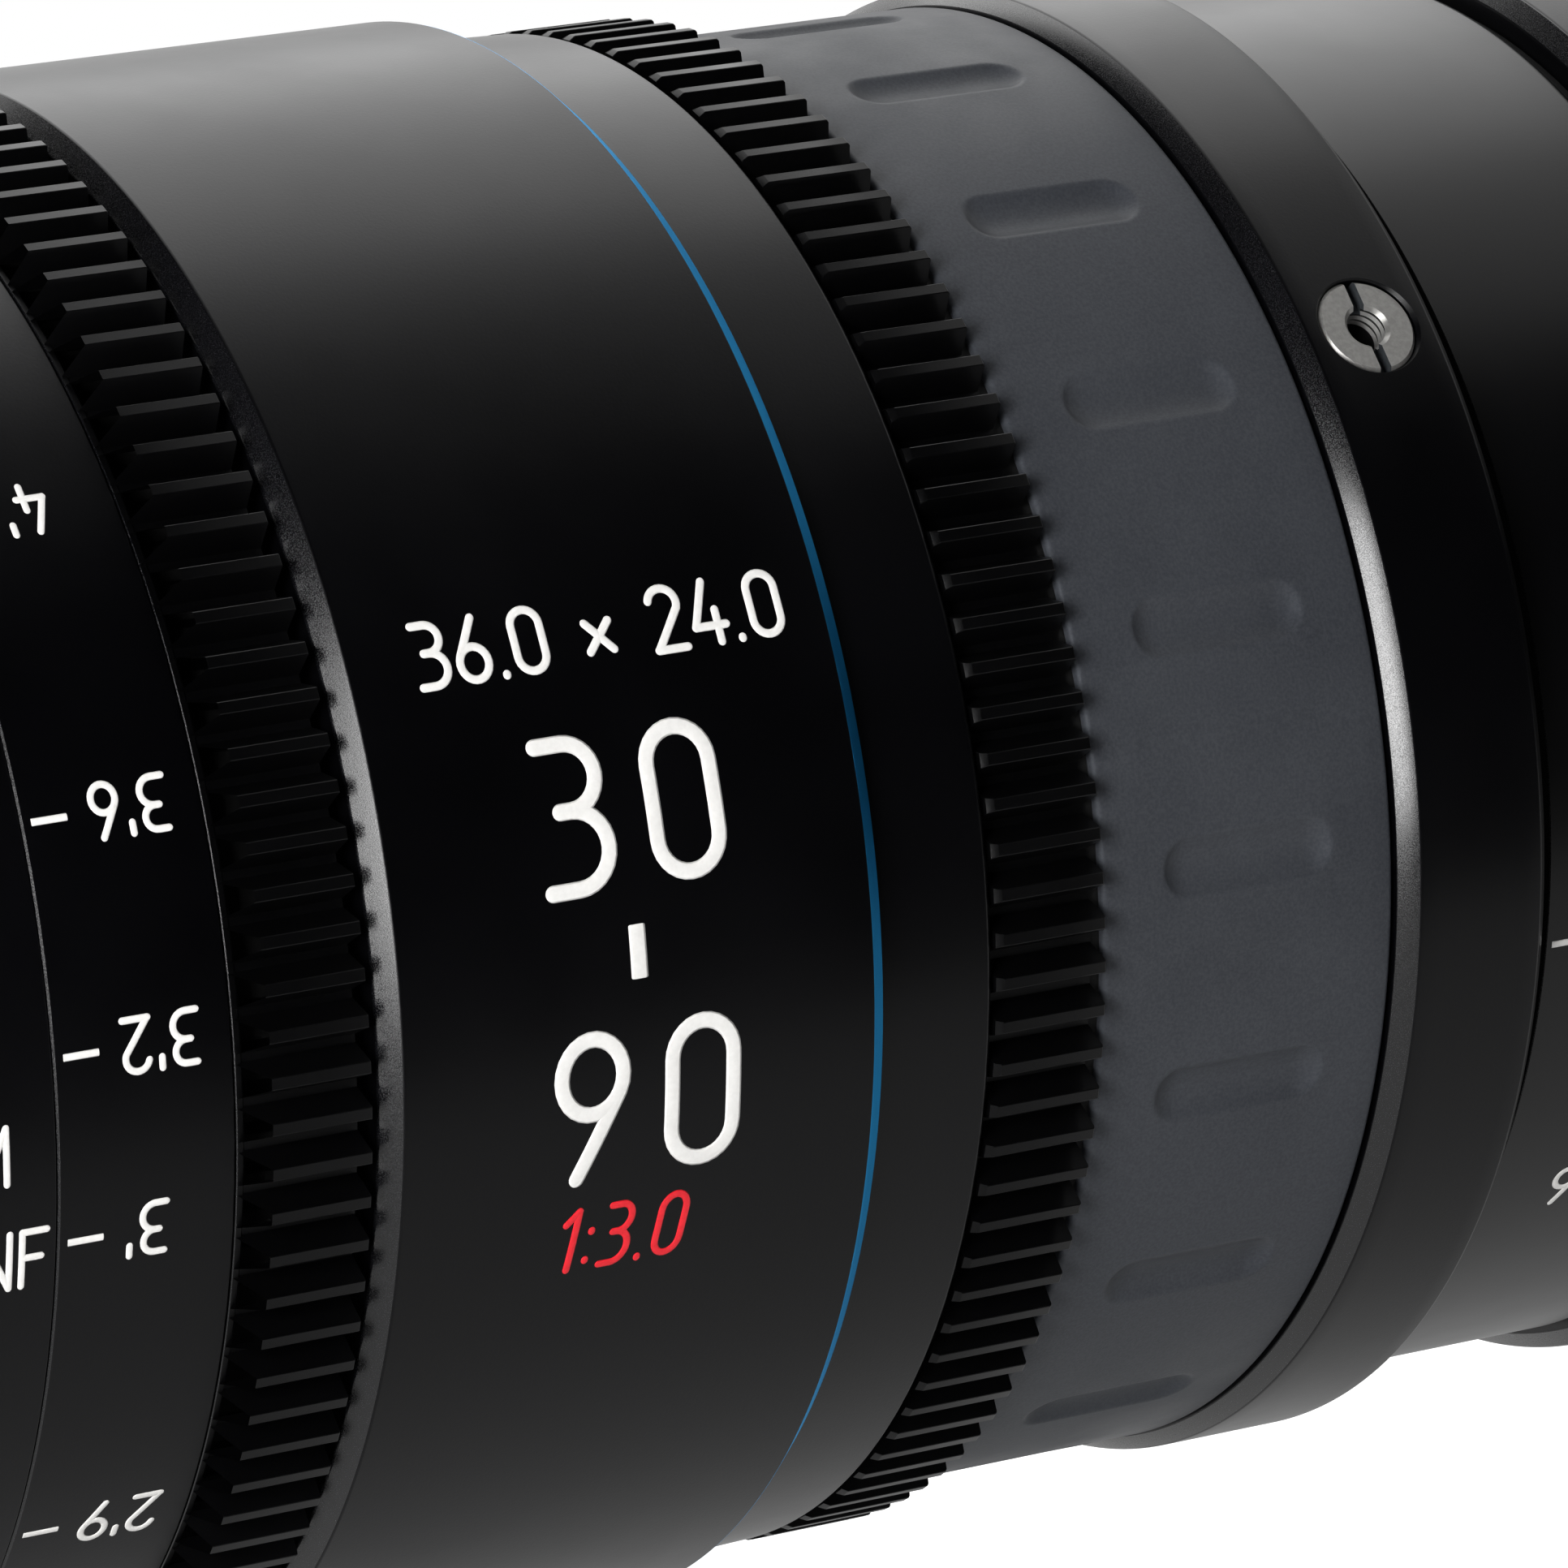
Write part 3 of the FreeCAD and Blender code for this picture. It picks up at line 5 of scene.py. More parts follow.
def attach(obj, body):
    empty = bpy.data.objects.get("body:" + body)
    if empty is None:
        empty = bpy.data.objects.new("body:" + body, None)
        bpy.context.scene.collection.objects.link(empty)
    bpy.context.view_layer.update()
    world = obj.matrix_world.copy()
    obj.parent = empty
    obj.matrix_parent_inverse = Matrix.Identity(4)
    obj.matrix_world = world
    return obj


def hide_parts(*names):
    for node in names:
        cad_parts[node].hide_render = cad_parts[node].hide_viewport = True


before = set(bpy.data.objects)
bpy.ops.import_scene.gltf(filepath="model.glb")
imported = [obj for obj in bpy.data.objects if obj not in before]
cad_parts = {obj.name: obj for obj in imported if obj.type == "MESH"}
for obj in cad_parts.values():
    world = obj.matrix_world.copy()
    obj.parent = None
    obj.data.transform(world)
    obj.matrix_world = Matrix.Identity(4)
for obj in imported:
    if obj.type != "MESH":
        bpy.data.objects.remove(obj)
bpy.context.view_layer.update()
print("frame loaded,", len(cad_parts), "nodes")

# Lengths below are millimetres. X is the optical axis, front towards -X, mount seat at 0.
# Angles round the axis count from the operator's side (-Y) over the top.
mm = 0.001
ringSteps = 288
tubeRadius = 40.4  # the main barrel, which carries every fixed ring
margin = 0.01  # how far a window for painting faces reaches past them


def spot(x, radius, angle):  # millimetres and degrees to a point
    turn = math.radians(angle)
    return Vector((x, -radius * math.cos(turn), radius * math.sin(turn))) * mm


# Materials: two tones mixed by a fine grain and a soft cloud, with roughness and bump from them
def newMaterial(name):
    mat = bpy.data.materials.new(name)
    mat.use_nodes = True
    tree = mat.node_tree
    tree.nodes.clear()
    out = tree.nodes.new("ShaderNodeOutputMaterial")
    shader = tree.nodes.new("ShaderNodeBsdfPrincipled")
    tree.links.new(shader.outputs["BSDF"], out.inputs["Surface"])
    return mat, shader, tree


def mathNode(tree, operation, *values):  # each value is a number or another node's output
    node = tree.nodes.new("ShaderNodeMath")
    node.operation = operation
    for socket, value in zip(node.inputs, values):
        if isinstance(value, bpy.types.NodeSocket):
            tree.links.new(value, socket)
        else:
            socket.default_value = value
    return node.outputs[0]


def baseTones(tree, shader, first, second, share):  # base colour runs from first to second
    tone = tree.nodes.new("ShaderNodeMix")
    tone.data_type = "RGBA"
    tone.inputs[6].default_value = (*first, 1)  # 6 and 7 are the node's two colours
    tone.inputs[7].default_value = (*second, 1)
    tree.links.new(share, tone.inputs[0])
    tree.links.new(tone.outputs[2], shader.inputs["Base Color"])


def finishMaterial(name, look):
    mat, shader, tree = newMaterial(name)
    coord = tree.nodes.new("ShaderNodeTexCoord")
    place = tree.nodes.new("ShaderNodeMapping")
    tree.links.new(coord.outputs["Object"], place.inputs["Vector"])
    place.inputs["Scale"].default_value = look.get("stretch", (1, 1, 1))

    def noise(scale, detail):
        tex = tree.nodes.new("ShaderNodeTexNoise")
        tex.inputs["Scale"].default_value = scale
        tex.inputs["Detail"].default_value = detail
        tex.inputs["Roughness"].default_value = 0.6
        tree.links.new(place.outputs["Vector"], tex.inputs["Vector"])
        return tex.outputs["Fac"]

    def ramp(source, low, high):
        change = tree.nodes.new("ShaderNodeMapRange")
        change.inputs["From Min"].default_value = 0.35  # most of a noise lies between these two
        change.inputs["From Max"].default_value = 0.65
        change.inputs["To Min"].default_value = low
        change.inputs["To Max"].default_value = high
        tree.links.new(source, change.inputs["Value"])
        return change.outputs["Result"]

    grain = noise(look["grain"], 2.0)
    cloud = noise(look.get("cloud", 60.0), 4.0)
    speckle = look.get("speckle", 0.5)
    share = mathNode(tree, "MULTIPLY_ADD", ramp(grain, 0, 1), speckle, ramp(cloud, 0, 1 - speckle))
    baseTones(tree, shader, look["dark"], look["light"], share)
    rough = look["roughness"]
    spread = look.get("roughSpread", 0.06)
    roughSource = grain if look.get("roughGrain") else cloud
    tree.links.new(ramp(roughSource, rough - spread, rough + spread), shader.inputs["Roughness"])
    bump = tree.nodes.new("ShaderNodeBump")
    bump.inputs["Strength"].default_value = look.get("bump", 0.2)
    bump.inputs["Distance"].default_value = look.get("bumpDepth", 0.02) * mm
    tree.links.new(grain, bump.inputs["Height"])
    tree.links.new(bump.outputs["Normal"], shader.inputs["Normal"])
    shader.inputs["Metallic"].default_value = look.get("metallic", 0)
    shader.inputs["Specular IOR Level"].default_value = look.get("specular", 0.5)
    for socket, value in look.get("sockets", {}).items():
        shader.inputs[socket].default_value = value
    return mat


finishes = {
    "casingBlack": dict(dark=(0.0005, 0.0005, 0.0007), light=(0.0014, 0.0014, 0.0018), grain=5200,
                        roughness=0.32, roughSpread=0.025, specular=0.20, bump=0.35, bumpDepth=0.012),
    "ringBlack": dict(dark=(0.0004, 0.0004, 0.0006), light=(0.0013, 0.0013, 0.0017), grain=5200,
                      roughness=0.32, roughSpread=0.025, specular=0.20, bump=0.35, bumpDepth=0.012),
    "barrelBlack": dict(dark=(0.0005, 0.0005, 0.0007), light=(0.0013, 0.0013, 0.0016), grain=5200,
                        roughness=0.33, roughSpread=0.02, specular=0.30, bump=0.22, bumpDepth=0.010),
    "gearBlack": dict(dark=(0.0006, 0.0006, 0.0007), light=(0.0018, 0.0018, 0.0020), grain=4200,
                      roughness=0.34, specular=0.16, bump=0.25, bumpDepth=0.012),
    "edgeBlack": dict(dark=(0.0010, 0.0010, 0.0014), light=(0.0050, 0.0050, 0.0058), grain=14000,
                      roughness=0.24, roughSpread=0.09, roughGrain=True, specular=0.62, bump=0.45,
                      bumpDepth=0.005),
    "socketSteel": dict(dark=(0.27, 0.265, 0.255), light=(0.37, 0.365, 0.35), grain=3200,
                        roughness=0.38, metallic=0.70, bump=0.10, bumpDepth=0.008, speckle=0.6),
    # darker steel for the thread inside the bore: painted shade
    "threadShadeSteel": dict(dark=(0.18, 0.178, 0.172), light=(0.25, 0.247, 0.238), grain=3200,
                        roughness=0.55, metallic=0.45, specular=0.3, bump=0.10, bumpDepth=0.008, speckle=0.6),
    # dark steel for the driver slot's walls and floor: painted shade
    "slotShadeSteel": dict(dark=(0.030, 0.034, 0.038), light=(0.055, 0.060, 0.066), grain=3200,
                      roughness=0.5, metallic=0.4, specular=0.3, bump=0.10, bumpDepth=0.008, speckle=0.6),
    "gripRubber": dict(dark=(0.0300, 0.0324, 0.0385), light=(0.0475, 0.0510, 0.0580), grain=5200, cloud=90,
                       roughness=0.48, specular=0.15, bump=0.35, bumpDepth=0.02, speckle=0.6),
    "accentBlue": dict(dark=(0.022, 0.38, 0.92), light=(0.044, 0.50, 1.00), grain=2600, speckle=0.3,
                       stretch=(1, 0.08, 0.08), roughness=0.33, metallic=1.0, specular=0.1, bump=0.08,
                       sockets={"Specular Tint": (0.60, 0.92, 1.0, 1)}),
    "stainless": dict(dark=(0.42, 0.41, 0.39), light=(0.60, 0.59, 0.57), grain=2600,
                      roughness=0.34, metallic=1.0, bump=0.10, bumpDepth=0.008, speckle=0.6),
    "mountSteel": dict(dark=(0.40, 0.40, 0.39), light=(0.60, 0.60, 0.585), grain=2200,
                       stretch=(1, 0.15, 0.15), roughness=0.24, metallic=1.0, bump=0.08, bumpDepth=0.008),
    # near-black for the inner parts; in the lever sockets' holes it is painted shade
    "innerBlackAndShade": dict(dark=(0.004, 0.004, 0.004), light=(0.008, 0.008, 0.008), grain=2500,
                       roughness=0.7, specular=0.2, bump=0.1),
    "paintWhite": dict(dark=(0.68, 0.67, 0.65), light=(0.77, 0.76, 0.74), grain=3000, cloud=300,
                       roughness=0.50, specular=0.35, bump=0.25, bumpDepth=0.015),
    "paintRed": dict(dark=(0.60, 0.010, 0.018), light=(0.76, 0.018, 0.030), grain=3000, cloud=300,
                     roughness=0.45, specular=0.35, bump=0.25, bumpDepth=0.015),
    "paintOrange": dict(dark=(0.78, 0.30, 0.015), light=(0.90, 0.38, 0.03), grain=3000, cloud=300,
                        roughness=0.5, specular=0.35, bump=0.25, bumpDepth=0.015),
    "washerBlack": dict(dark=(0.010, 0.010, 0.010), light=(0.016, 0.016, 0.016), grain=2000,
                        roughness=0.5, specular=0.3, bump=0.1),
}
materials = {name: finishMaterial(name, look) for name, look in finishes.items()}


def glassMaterial(name, tint, coatTint):
    mat, shader, tree = newMaterial(name)
    edge = tree.nodes.new("ShaderNodeLayerWeight")
    edge.inputs["Blend"].default_value = 0.35
    baseTones(tree, shader, tint, coatTint, edge.outputs["Facing"])
    shader.inputs["Transmission Weight"].default_value = 1
    shader.inputs["Roughness"].default_value = 0.0
    shader.inputs["IOR"].default_value = 1.5
    shader.inputs["Coat Weight"].default_value = 0.35
    shader.inputs["Coat Tint"].default_value = (*coatTint, 1)
    return mat


materials["frontGlass"] = glassMaterial("frontGlass", (0.93, 0.96, 0.97), (0.55, 0.42, 0.75))
materials["innerGlass"] = glassMaterial("innerGlass", (0.93, 0.97, 0.95), (0.40, 0.65, 0.50))
print("materials made:", len(materials))


# Mesh helpers
def meshFrom(name, bm):  # uses the bmesh up
    mesh = bpy.data.meshes.new(name)
    bm.to_mesh(mesh)
    bm.free()
    return mesh


def addObject(name, data):
    made = bpy.data.objects.new(name, data)
    bpy.context.scene.collection.objects.link(made)
    return made


def joinInto(bm, part):  # moves part's shape into bm
    spare = meshFrom("spare", part)
    bm.from_mesh(spare)
    bpy.data.meshes.remove(spare)


def smoothShade(mesh, sharp=32):  # edges over that many degrees stay sharp
    mesh.shade_smooth()
    mesh.set_sharp_from_angle(angle=math.radians(sharp))


def finishObject(name, bm, mats, body, replaced, sharp=32, even=True):
    mesh = meshFrom(name, bm)
    for mat in mats:
        mesh.materials.append(materials[mat])
    smoothShade(mesh, sharp)
    piece = addObject(name, mesh)
    if even:
        shade = piece.modifiers.new("evenShade", "WEIGHTED_NORMAL")
        shade.keep_sharp = True
    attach(piece, body)
    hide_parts(*replaced)
    return piece


def closedLoop(points):
    bm = bmesh.new()
    verts = [bm.verts.new(point) for point in points]
    for index, vert in enumerate(verts):
        bm.edges.new((vert, verts[(index + 1) % len(verts)]))
    return bm, verts


def spinFull(bm, axis, steps):  # turns the section in bm all the way round
    bmesh.ops.spin(bm, geom=bm.verts[:] + bm.edges[:], cent=(0, 0, 0), axis=axis, dvec=(0, 0, 0),
                   angle=2 * math.pi, steps=steps, use_merge=True)
    bmesh.ops.remove_doubles(bm, verts=bm.verts, dist=1e-7)
    bmesh.ops.recalc_face_normals(bm, faces=bm.faces)


def repeatRound(bm, count):  # copies one share of a ring round the optical axis
    bmesh.ops.spin(bm, geom=bm.verts[:] + bm.edges[:] + bm.faces[:], cent=(0, 0, 0), axis=(1, 0, 0),
                   dvec=(0, 0, 0), angle=2 * math.pi * (count - 1) / count, steps=count - 1,
                   use_duplicate=True)
    bmesh.ops.remove_doubles(bm, verts=bm.verts, dist=2e-6)


def turnOnAxis(bm, angle):
    turn = Matrix.Rotation(math.radians(-angle), 3, "X")
    bmesh.ops.rotate(bm, verts=bm.verts, cent=(0, 0, 0), matrix=turn)


def turnedMesh(outline, steps=ringSteps):  # outline: (x, radius, corner round) in order round the section
    bm, verts = closedLoop([(x * mm, 0, radius * mm) for x, radius, _ in outline])
    rounds = {}
    for vert, (_, _, size) in zip(verts, outline):
        if size:
            rounds.setdefault(size, []).append(vert)
    for size, corners in rounds.items():
        bmesh.ops.bevel(bm, geom=corners, offset=size * mm, offset_type="OFFSET", segments=3,
                        profile=0.5, affect="VERTICES", material=-1)
    spinFull(bm, (1, 0, 0), steps)
    return bm


def paintFaces(bm, test, index):  # material index for faces whose middle passes the test
    for face in bm.faces:
        middle = face.calc_center_median() / mm
        if test(middle.x, math.hypot(middle.y, middle.z), face.normal):
            face.material_index = index


def turnedPiece(name, outline, mats, body, replaced, windows=()):
    bm = turnedMesh(outline)
    for lowX, highX, lowR, highR, index in windows:
        paintFaces(bm, lambda x, r, n: lowX < x < highX and lowR < r < highR, index)
    return finishObject(name, bm, mats, body, replaced)


# Fixed barrel
casing = dict(front=-137.1, shoulder=-136.0, rear=-106.5, radius=46.75, frontRadius=45.7, bore=44.0,
              rib=3.0, frontRound=0.12, shoulderRound=0.10, rearRound=0.03, brightX=-136.06,
              brightRadius=45.6)
bm = turnedMesh([
    (casing["front"], tubeRadius, 0), (casing["front"], casing["frontRadius"], casing["frontRound"]),
    (casing["shoulder"], casing["radius"], casing["shoulderRound"]),
    (casing["rear"], casing["radius"], casing["rearRound"]), (casing["rear"], casing["bore"], 0),
    (casing["front"] + casing["rib"], casing["bore"], 0), (casing["front"] + casing["rib"], tubeRadius, 0),
])
paintFaces(bm, lambda x, r, n: x < casing["brightX"] and r > casing["brightRadius"], 1)
finishObject("centreCasing", bm, ["casingBlack", "edgeBlack"], "barrel", ("centre_casing",))

accent = dict(front=-106.5, rear=-105.4, radius=46.75, rearRadius=45.8, bore=44.0, edge=0.02)
turnedPiece("accentRing", [
    (accent["front"], accent["bore"], 0), (accent["front"], accent["radius"], accent["edge"]),
    (accent["rear"], accent["rearRadius"], accent["edge"]), (accent["rear"], accent["bore"], 0),
], ["accentBlue"], "barrel", ("accent_ring",))

band = dict(tongue=-111.3, front=-105.4, rear=-97.8, rib=-100.8, radius=45.3, taper=0.2, bore=42.5,
            tongueRadius=44.0, rearSlope=0.3, rearDrop=0.5, frontRound=0.02, slopeRound=0.1, rearRound=0.05)
turnedPiece("casingBand", [
    (band["tongue"], band["bore"], 0), (band["tongue"], band["tongueRadius"], 0),
    (band["front"], band["tongueRadius"], 0), (band["front"], band["radius"], band["frontRound"]),
    (band["rear"] - band["rearSlope"], band["radius"] - band["taper"], band["slopeRound"]),
    (band["rear"], band["radius"] - band["rearDrop"], band["rearRound"]),
    (band["rear"], tubeRadius, 0), (band["rib"], tubeRadius, 0), (band["rib"], band["bore"], 0),
], ["casingBlack"], "barrel", ("casing_band",))

rearBarrel = dict(front=-59.6, relief=-58.25, rear=-40.0, radius=42.2, reliefRadius=41.3, edge=0.05,
                  rearRound=0.8)
shoulderRadius = rearBarrel["radius"] - rearBarrel["edge"]
turnedPiece("rearBarrel", [
    (rearBarrel["front"], tubeRadius, 0), (rearBarrel["front"], rearBarrel["reliefRadius"], 0),
    (rearBarrel["relief"], rearBarrel["reliefRadius"], 0), (rearBarrel["relief"], shoulderRadius, 0),
    (rearBarrel["relief"] + rearBarrel["edge"], rearBarrel["radius"], 0),
    (rearBarrel["rear"], rearBarrel["radius"], rearBarrel["rearRound"]), (rearBarrel["rear"], tubeRadius, 0),
], ["barrelBlack", "edgeBlack", "innerBlackAndShade"], "barrel", ("rear_barrel",), windows=[
    (rearBarrel["relief"], rearBarrel["relief"] + rearBarrel["edge"],
     shoulderRadius, rearBarrel["radius"], 1),
    (rearBarrel["front"] - margin, rearBarrel["relief"] + margin, 0, shoulderRadius - margin, 2)])

collar = dict(front=-194.0, rear=-180.3, radius=47.5, edge=0.3, thread=42.5, threadEnd=-189.0, trim=41.8,
              inner=-187.5, lip=0.5, lipRound=0.15, pitch=0.75, threadDepth=0.35, threadStart=0.3,
              threadStop=0.7)
outline = [(collar["front"], collar["thread"] + collar["lip"], collar["lipRound"]),
           (collar["front"], collar["radius"], collar["edge"]),
           (collar["rear"], collar["radius"], collar["edge"]), (collar["rear"], tubeRadius, 0),
           (collar["inner"], tubeRadius, 0), (collar["inner"], collar["trim"], 0),
           (collar["threadEnd"], collar["trim"], 0), (collar["threadEnd"], collar["thread"], 0)]
turn = collar["threadEnd"] - collar["threadStart"]
while turn > collar["front"] + collar["threadStop"]:  # thread form, seen in the front opening
    for share, rise in ((0, 0), (0.45, 1), (0.9, 0)):
        outline.append((turn - collar["pitch"] * share, collar["thread"] + collar["threadDepth"] * rise, 0))
    turn -= collar["pitch"]
turnedPiece("frontBarrel", outline, ["ringBlack"], "barrel", ("front_barrel",))

trimRing = dict(bore=38.9, rearBore=37.7, edge=0.1)
turnedPiece("frontTrimRing", [
    (collar["threadEnd"], trimRing["bore"], trimRing["edge"]),
    (collar["threadEnd"], collar["trim"], trimRing["edge"]), (collar["inner"], collar["trim"], 0),
    (collar["inner"], trimRing["rearBore"], trimRing["edge"]),
], ["innerBlackAndShade"], "barrel", ("front_trim_ring",))

rearCasing = dict(front=-19.6, cone=-15.5, neck=-9.0, seat=-3.4, radius=42.0, coneRadius=36.5,
                  neckRadius=31.2, bore=27.6, wall=-13.0, roomRadius=38.6, shelf=-16.0, edge=0.3,
                  shoulderRound=0.5, coneRound=0.4, seatRound=0.1)
turnedPiece("rearCasing", [
    (rearCasing["front"], tubeRadius, 0), (rearCasing["front"], rearCasing["radius"], rearCasing["edge"]),
    (rearCasing["cone"], rearCasing["radius"], rearCasing["shoulderRound"]),
    (rearCasing["neck"], rearCasing["coneRadius"], rearCasing["coneRound"]),
    (rearCasing["neck"], rearCasing["neckRadius"], rearCasing["edge"]),
    (rearCasing["seat"], rearCasing["neckRadius"], rearCasing["seatRound"]),
    (rearCasing["seat"], rearCasing["bore"], 0), (rearCasing["wall"], rearCasing["bore"], 0),
    (rearCasing["wall"], rearCasing["roomRadius"], 0), (rearCasing["shelf"], rearCasing["roomRadius"], 0),
    (rearCasing["shelf"], tubeRadius, 0),
], ["casingBlack"], "barrel", ("rear_casing",))
print("fixed barrel made")

# Focus ring
focusBand = dict(front=-156.25, rear=-145.6, radius=45.55, seat=43.0, edge=0.12, rearRound=0.05,
                 rearDrop=0.15)
turnedPiece("focusScaleRing", [
    (focusBand["front"], focusBand["seat"], 0),
    (focusBand["front"], focusBand["radius"] - focusBand["edge"], 0),
    (focusBand["front"] + focusBand["edge"], focusBand["radius"], 0),
    (focusBand["rear"] - focusBand["edge"], focusBand["radius"], focusBand["rearRound"]),
    (focusBand["rear"], focusBand["radius"] - focusBand["rearDrop"], 0),
    (focusBand["rear"], focusBand["seat"], 0),
], ["ringBlack", "edgeBlack"], "focus_ring", ("focus_scale_ring",), windows=[
    (focusBand["front"], focusBand["front"] + focusBand["edge"],
     focusBand["radius"] - focusBand["edge"] - margin, focusBand["radius"] + margin, 1)])
sleeve = dict(front=-179.9, rear=-156.35, radius=45.55, seat=43.0, frontRound=0.3, rearRound=0.08)
turnedPiece("focusSleeve", [
    (sleeve["front"], sleeve["seat"], 0), (sleeve["front"], sleeve["radius"], sleeve["frontRound"]),
    (sleeve["rear"], sleeve["radius"], sleeve["rearRound"]), (sleeve["rear"], sleeve["seat"], 0),
], ["ringBlack"], "focus_ring", ("focus_sleeve",))

# Toothed rings: one tooth is cut and bevelled, then copied round
toothForm = dict(module=0.8, clearance=0.2, pressureAngle=20, sharpTurn=0.3, footMargin=0.15)


def toothedPiece(name, gear, body, replaced, extra=None):
    module, teeth = toothForm["module"], gear["teeth"]
    tip = module * (teeth + 2) / 2
    depth = 2 * module + toothForm["clearance"]
    root = tip - depth
    slope = math.tan(math.radians(toothForm["pressureAngle"]))
    crest = math.pi * module / 4 - module * slope
    base = crest + depth * slope
    pitch = math.pi * root / teeth
    half = math.pi / teeth
    front, rear, bore = gear["front"], gear["rear"], gear["bore"]
    footAcross, footHigh = bore * math.sin(half), bore * math.cos(half)
    section = [(-footAcross, footHigh), (-pitch, root), (-base, root), (-crest, tip), (crest, tip),
               (base, root), (pitch, root), (footAcross, footHigh)]
    bm = bmesh.new()
    ends = [[bm.verts.new((x * mm, across * mm, high * mm)) for across, high in section]
            for x in (front, rear)]
    for index in range(1, len(section) - 2):
        bm.faces.new((ends[0][index], ends[0][index + 1], ends[1][index + 1], ends[1][index]))
    bm.faces.new(ends[0])
    bm.faces.new(ends[1])
    bm.faces.new((ends[0][0], ends[0][-1], ends[1][-1], ends[1][0]))
    for reach, rise, x, way in ((*gear["frontBevel"], front, -1), (*gear["rearBevel"], rear, 1)):
        slant = Vector((way * rise, 0, reach)).normalized()  # from the tooth's end to its crest
        cut = bmesh.ops.bisect_plane(bm, geom=bm.verts[:] + bm.edges[:] + bm.faces[:], dist=1e-8,
                                     plane_co=(x * mm, 0, (tip - rise) * mm), plane_no=slant,
                                     clear_outer=True)
        rim = [item for item in cut["geom_cut"] if isinstance(item, bmesh.types.BMEdge)]
        bmesh.ops.holes_fill(bm, edges=rim, sides=0)  # known fault: a cut down to the root stays open
    bmesh.ops.remove_doubles(bm, verts=bm.verts, dist=1e-8)
    sharpEdges = [edge for edge in bm.edges if edge.calc_face_angle(0) > toothForm["sharpTurn"]
                  and min(v.co.z for v in edge.verts) > (root + toothForm["footMargin"]) * mm]
    bmesh.ops.bevel(bm, geom=sharpEdges, offset=gear["edge"] * mm, offset_type="OFFSET", segments=1,
                    profile=0.5, affect="EDGES", clamp_overlap=True, material=-1)
    repeatRound(bm, teeth)
    bmesh.ops.recalc_face_normals(bm, faces=bm.faces)
    if extra:
        more = turnedMesh(extra, teeth * 2)
        paintFaces(more, lambda x, r, n: n.x < -0.4 and r > root, 1)  # its front chamfer
        joinInto(bm, more)
    turnOnAxis(bm, gear["phase"])
    finishObject(name, bm, ["gearBlack", "edgeBlack"], body, replaced, sharp=25, even=False)


focusTeeth = dict(teeth=116, bore=43.0, front=-145.6, rear=-138.2, frontBevel=(1.35, 1.8),
                  rearBevel=(0.05, 0.05), edge=0.042, phase=0)
land = dict(front=-145.58, crown=-145.2, rear=-145.0, radius=45.54, edge=0.05, rearRadius=45.3)
toothedPiece("focusGear", focusTeeth, "focus_ring", ("focus_gear",), extra=[
    (land["front"], focusTeeth["bore"], 0), (land["front"], land["radius"] - land["edge"], 0),
    (land["front"] + land["edge"], land["radius"], 0), (land["crown"], land["radius"], 0),
    (land["rear"], land["rearRadius"], 0), (land["rear"], focusTeeth["bore"], 0)])
zoomTeeth = dict(teeth=111, bore=41.3, front=-97.55, rear=-90.4, frontBevel=(0.42, 0.25),
                 rearBevel=(0.1, 0.1), edge=0.035, phase=-1.51)
toothedPiece("zoomGear", zoomTeeth, "zoom_ring", ("zoom_gear",))
irisTeeth = dict(teeth=107, bore=40.45, front=-32.0, rear=-24.0, frontBevel=(0.3, 0.3),
                 rearBevel=(0.1, 0.1), edge=0.05, phase=0)
irisRing = dict(front=-39.1, shoulder=-38.0, collarRear=-20.0, radius=43.7, frontRadius=42.6,
                frontRound=0.08, edge=0.15, rearRound=0.3, chamferInset=0.05)
toothedPiece("irisGear", irisTeeth, "iris_control", ("iris_gear",), extra=[
    (irisTeeth["rear"], irisTeeth["bore"], 0), (irisTeeth["rear"], irisRing["radius"], irisRing["edge"]),
    (irisRing["collarRear"], irisRing["radius"], irisRing["rearRound"]),
    (irisRing["collarRear"], irisTeeth["bore"], 0)])
print("toothed rings made")

# Iris ring
turnedPiece("irisRing", [
    (irisRing["front"], irisTeeth["bore"], 0),
    (irisRing["front"], irisRing["frontRadius"], irisRing["frontRound"]),
    (irisRing["shoulder"], irisRing["radius"], irisRing["edge"]),
    (irisTeeth["front"], irisRing["radius"], irisRing["edge"]), (irisTeeth["front"], irisTeeth["bore"], 0),
], ["ringBlack", "edgeBlack"], "iris_control", ("iris_ring",), windows=[
    (irisRing["front"] + irisRing["chamferInset"], irisRing["shoulder"] - irisRing["chamferInset"],
     irisRing["frontRadius"] + irisRing["chamferInset"], irisRing["radius"] - irisRing["chamferInset"], 1)])

# Zoom grip with its dimples
grip = dict(front=-89.6, rear=-70.1, radius=43.65, seat=41.9, edge=0.35, edgeSteps=5, count=20, phase=5.15,
            length=11.35, tool=2.7, depth=0.62, rim=0.12, fineOuter=5.95, fineInner=3.8, fineSide=1.95)
gripMiddle = (grip["front"] + grip["rear"]) / 2


def gripDepth(x, across):  # how far the surface dips at a place in one dimple's share
    half = math.sqrt(grip["tool"] ** 2 - (grip["tool"] - grip["depth"]) ** 2)
    straight = grip["length"] / 2 - half
    away = math.hypot(max(abs(x - gripMiddle) - straight, 0), across)
    if away >= half + grip["rim"]:
        return 0
    inner = half - grip["rim"]
    ball = math.sqrt(grip["tool"] ** 2 - min(away, inner) ** 2) - (grip["tool"] - grip["depth"])
    if away <= inner:
        return ball
    share = (away - inner) / (2 * grip["rim"])  # rounded rim between the ball's form and the surface
    slope = -inner / math.sqrt(grip["tool"] ** 2 - inner ** 2) * 2 * grip["rim"]
    return ball * (2 * share ** 3 - 3 * share ** 2 + 1) + slope * (share ** 3 - 2 * share ** 2 + share)


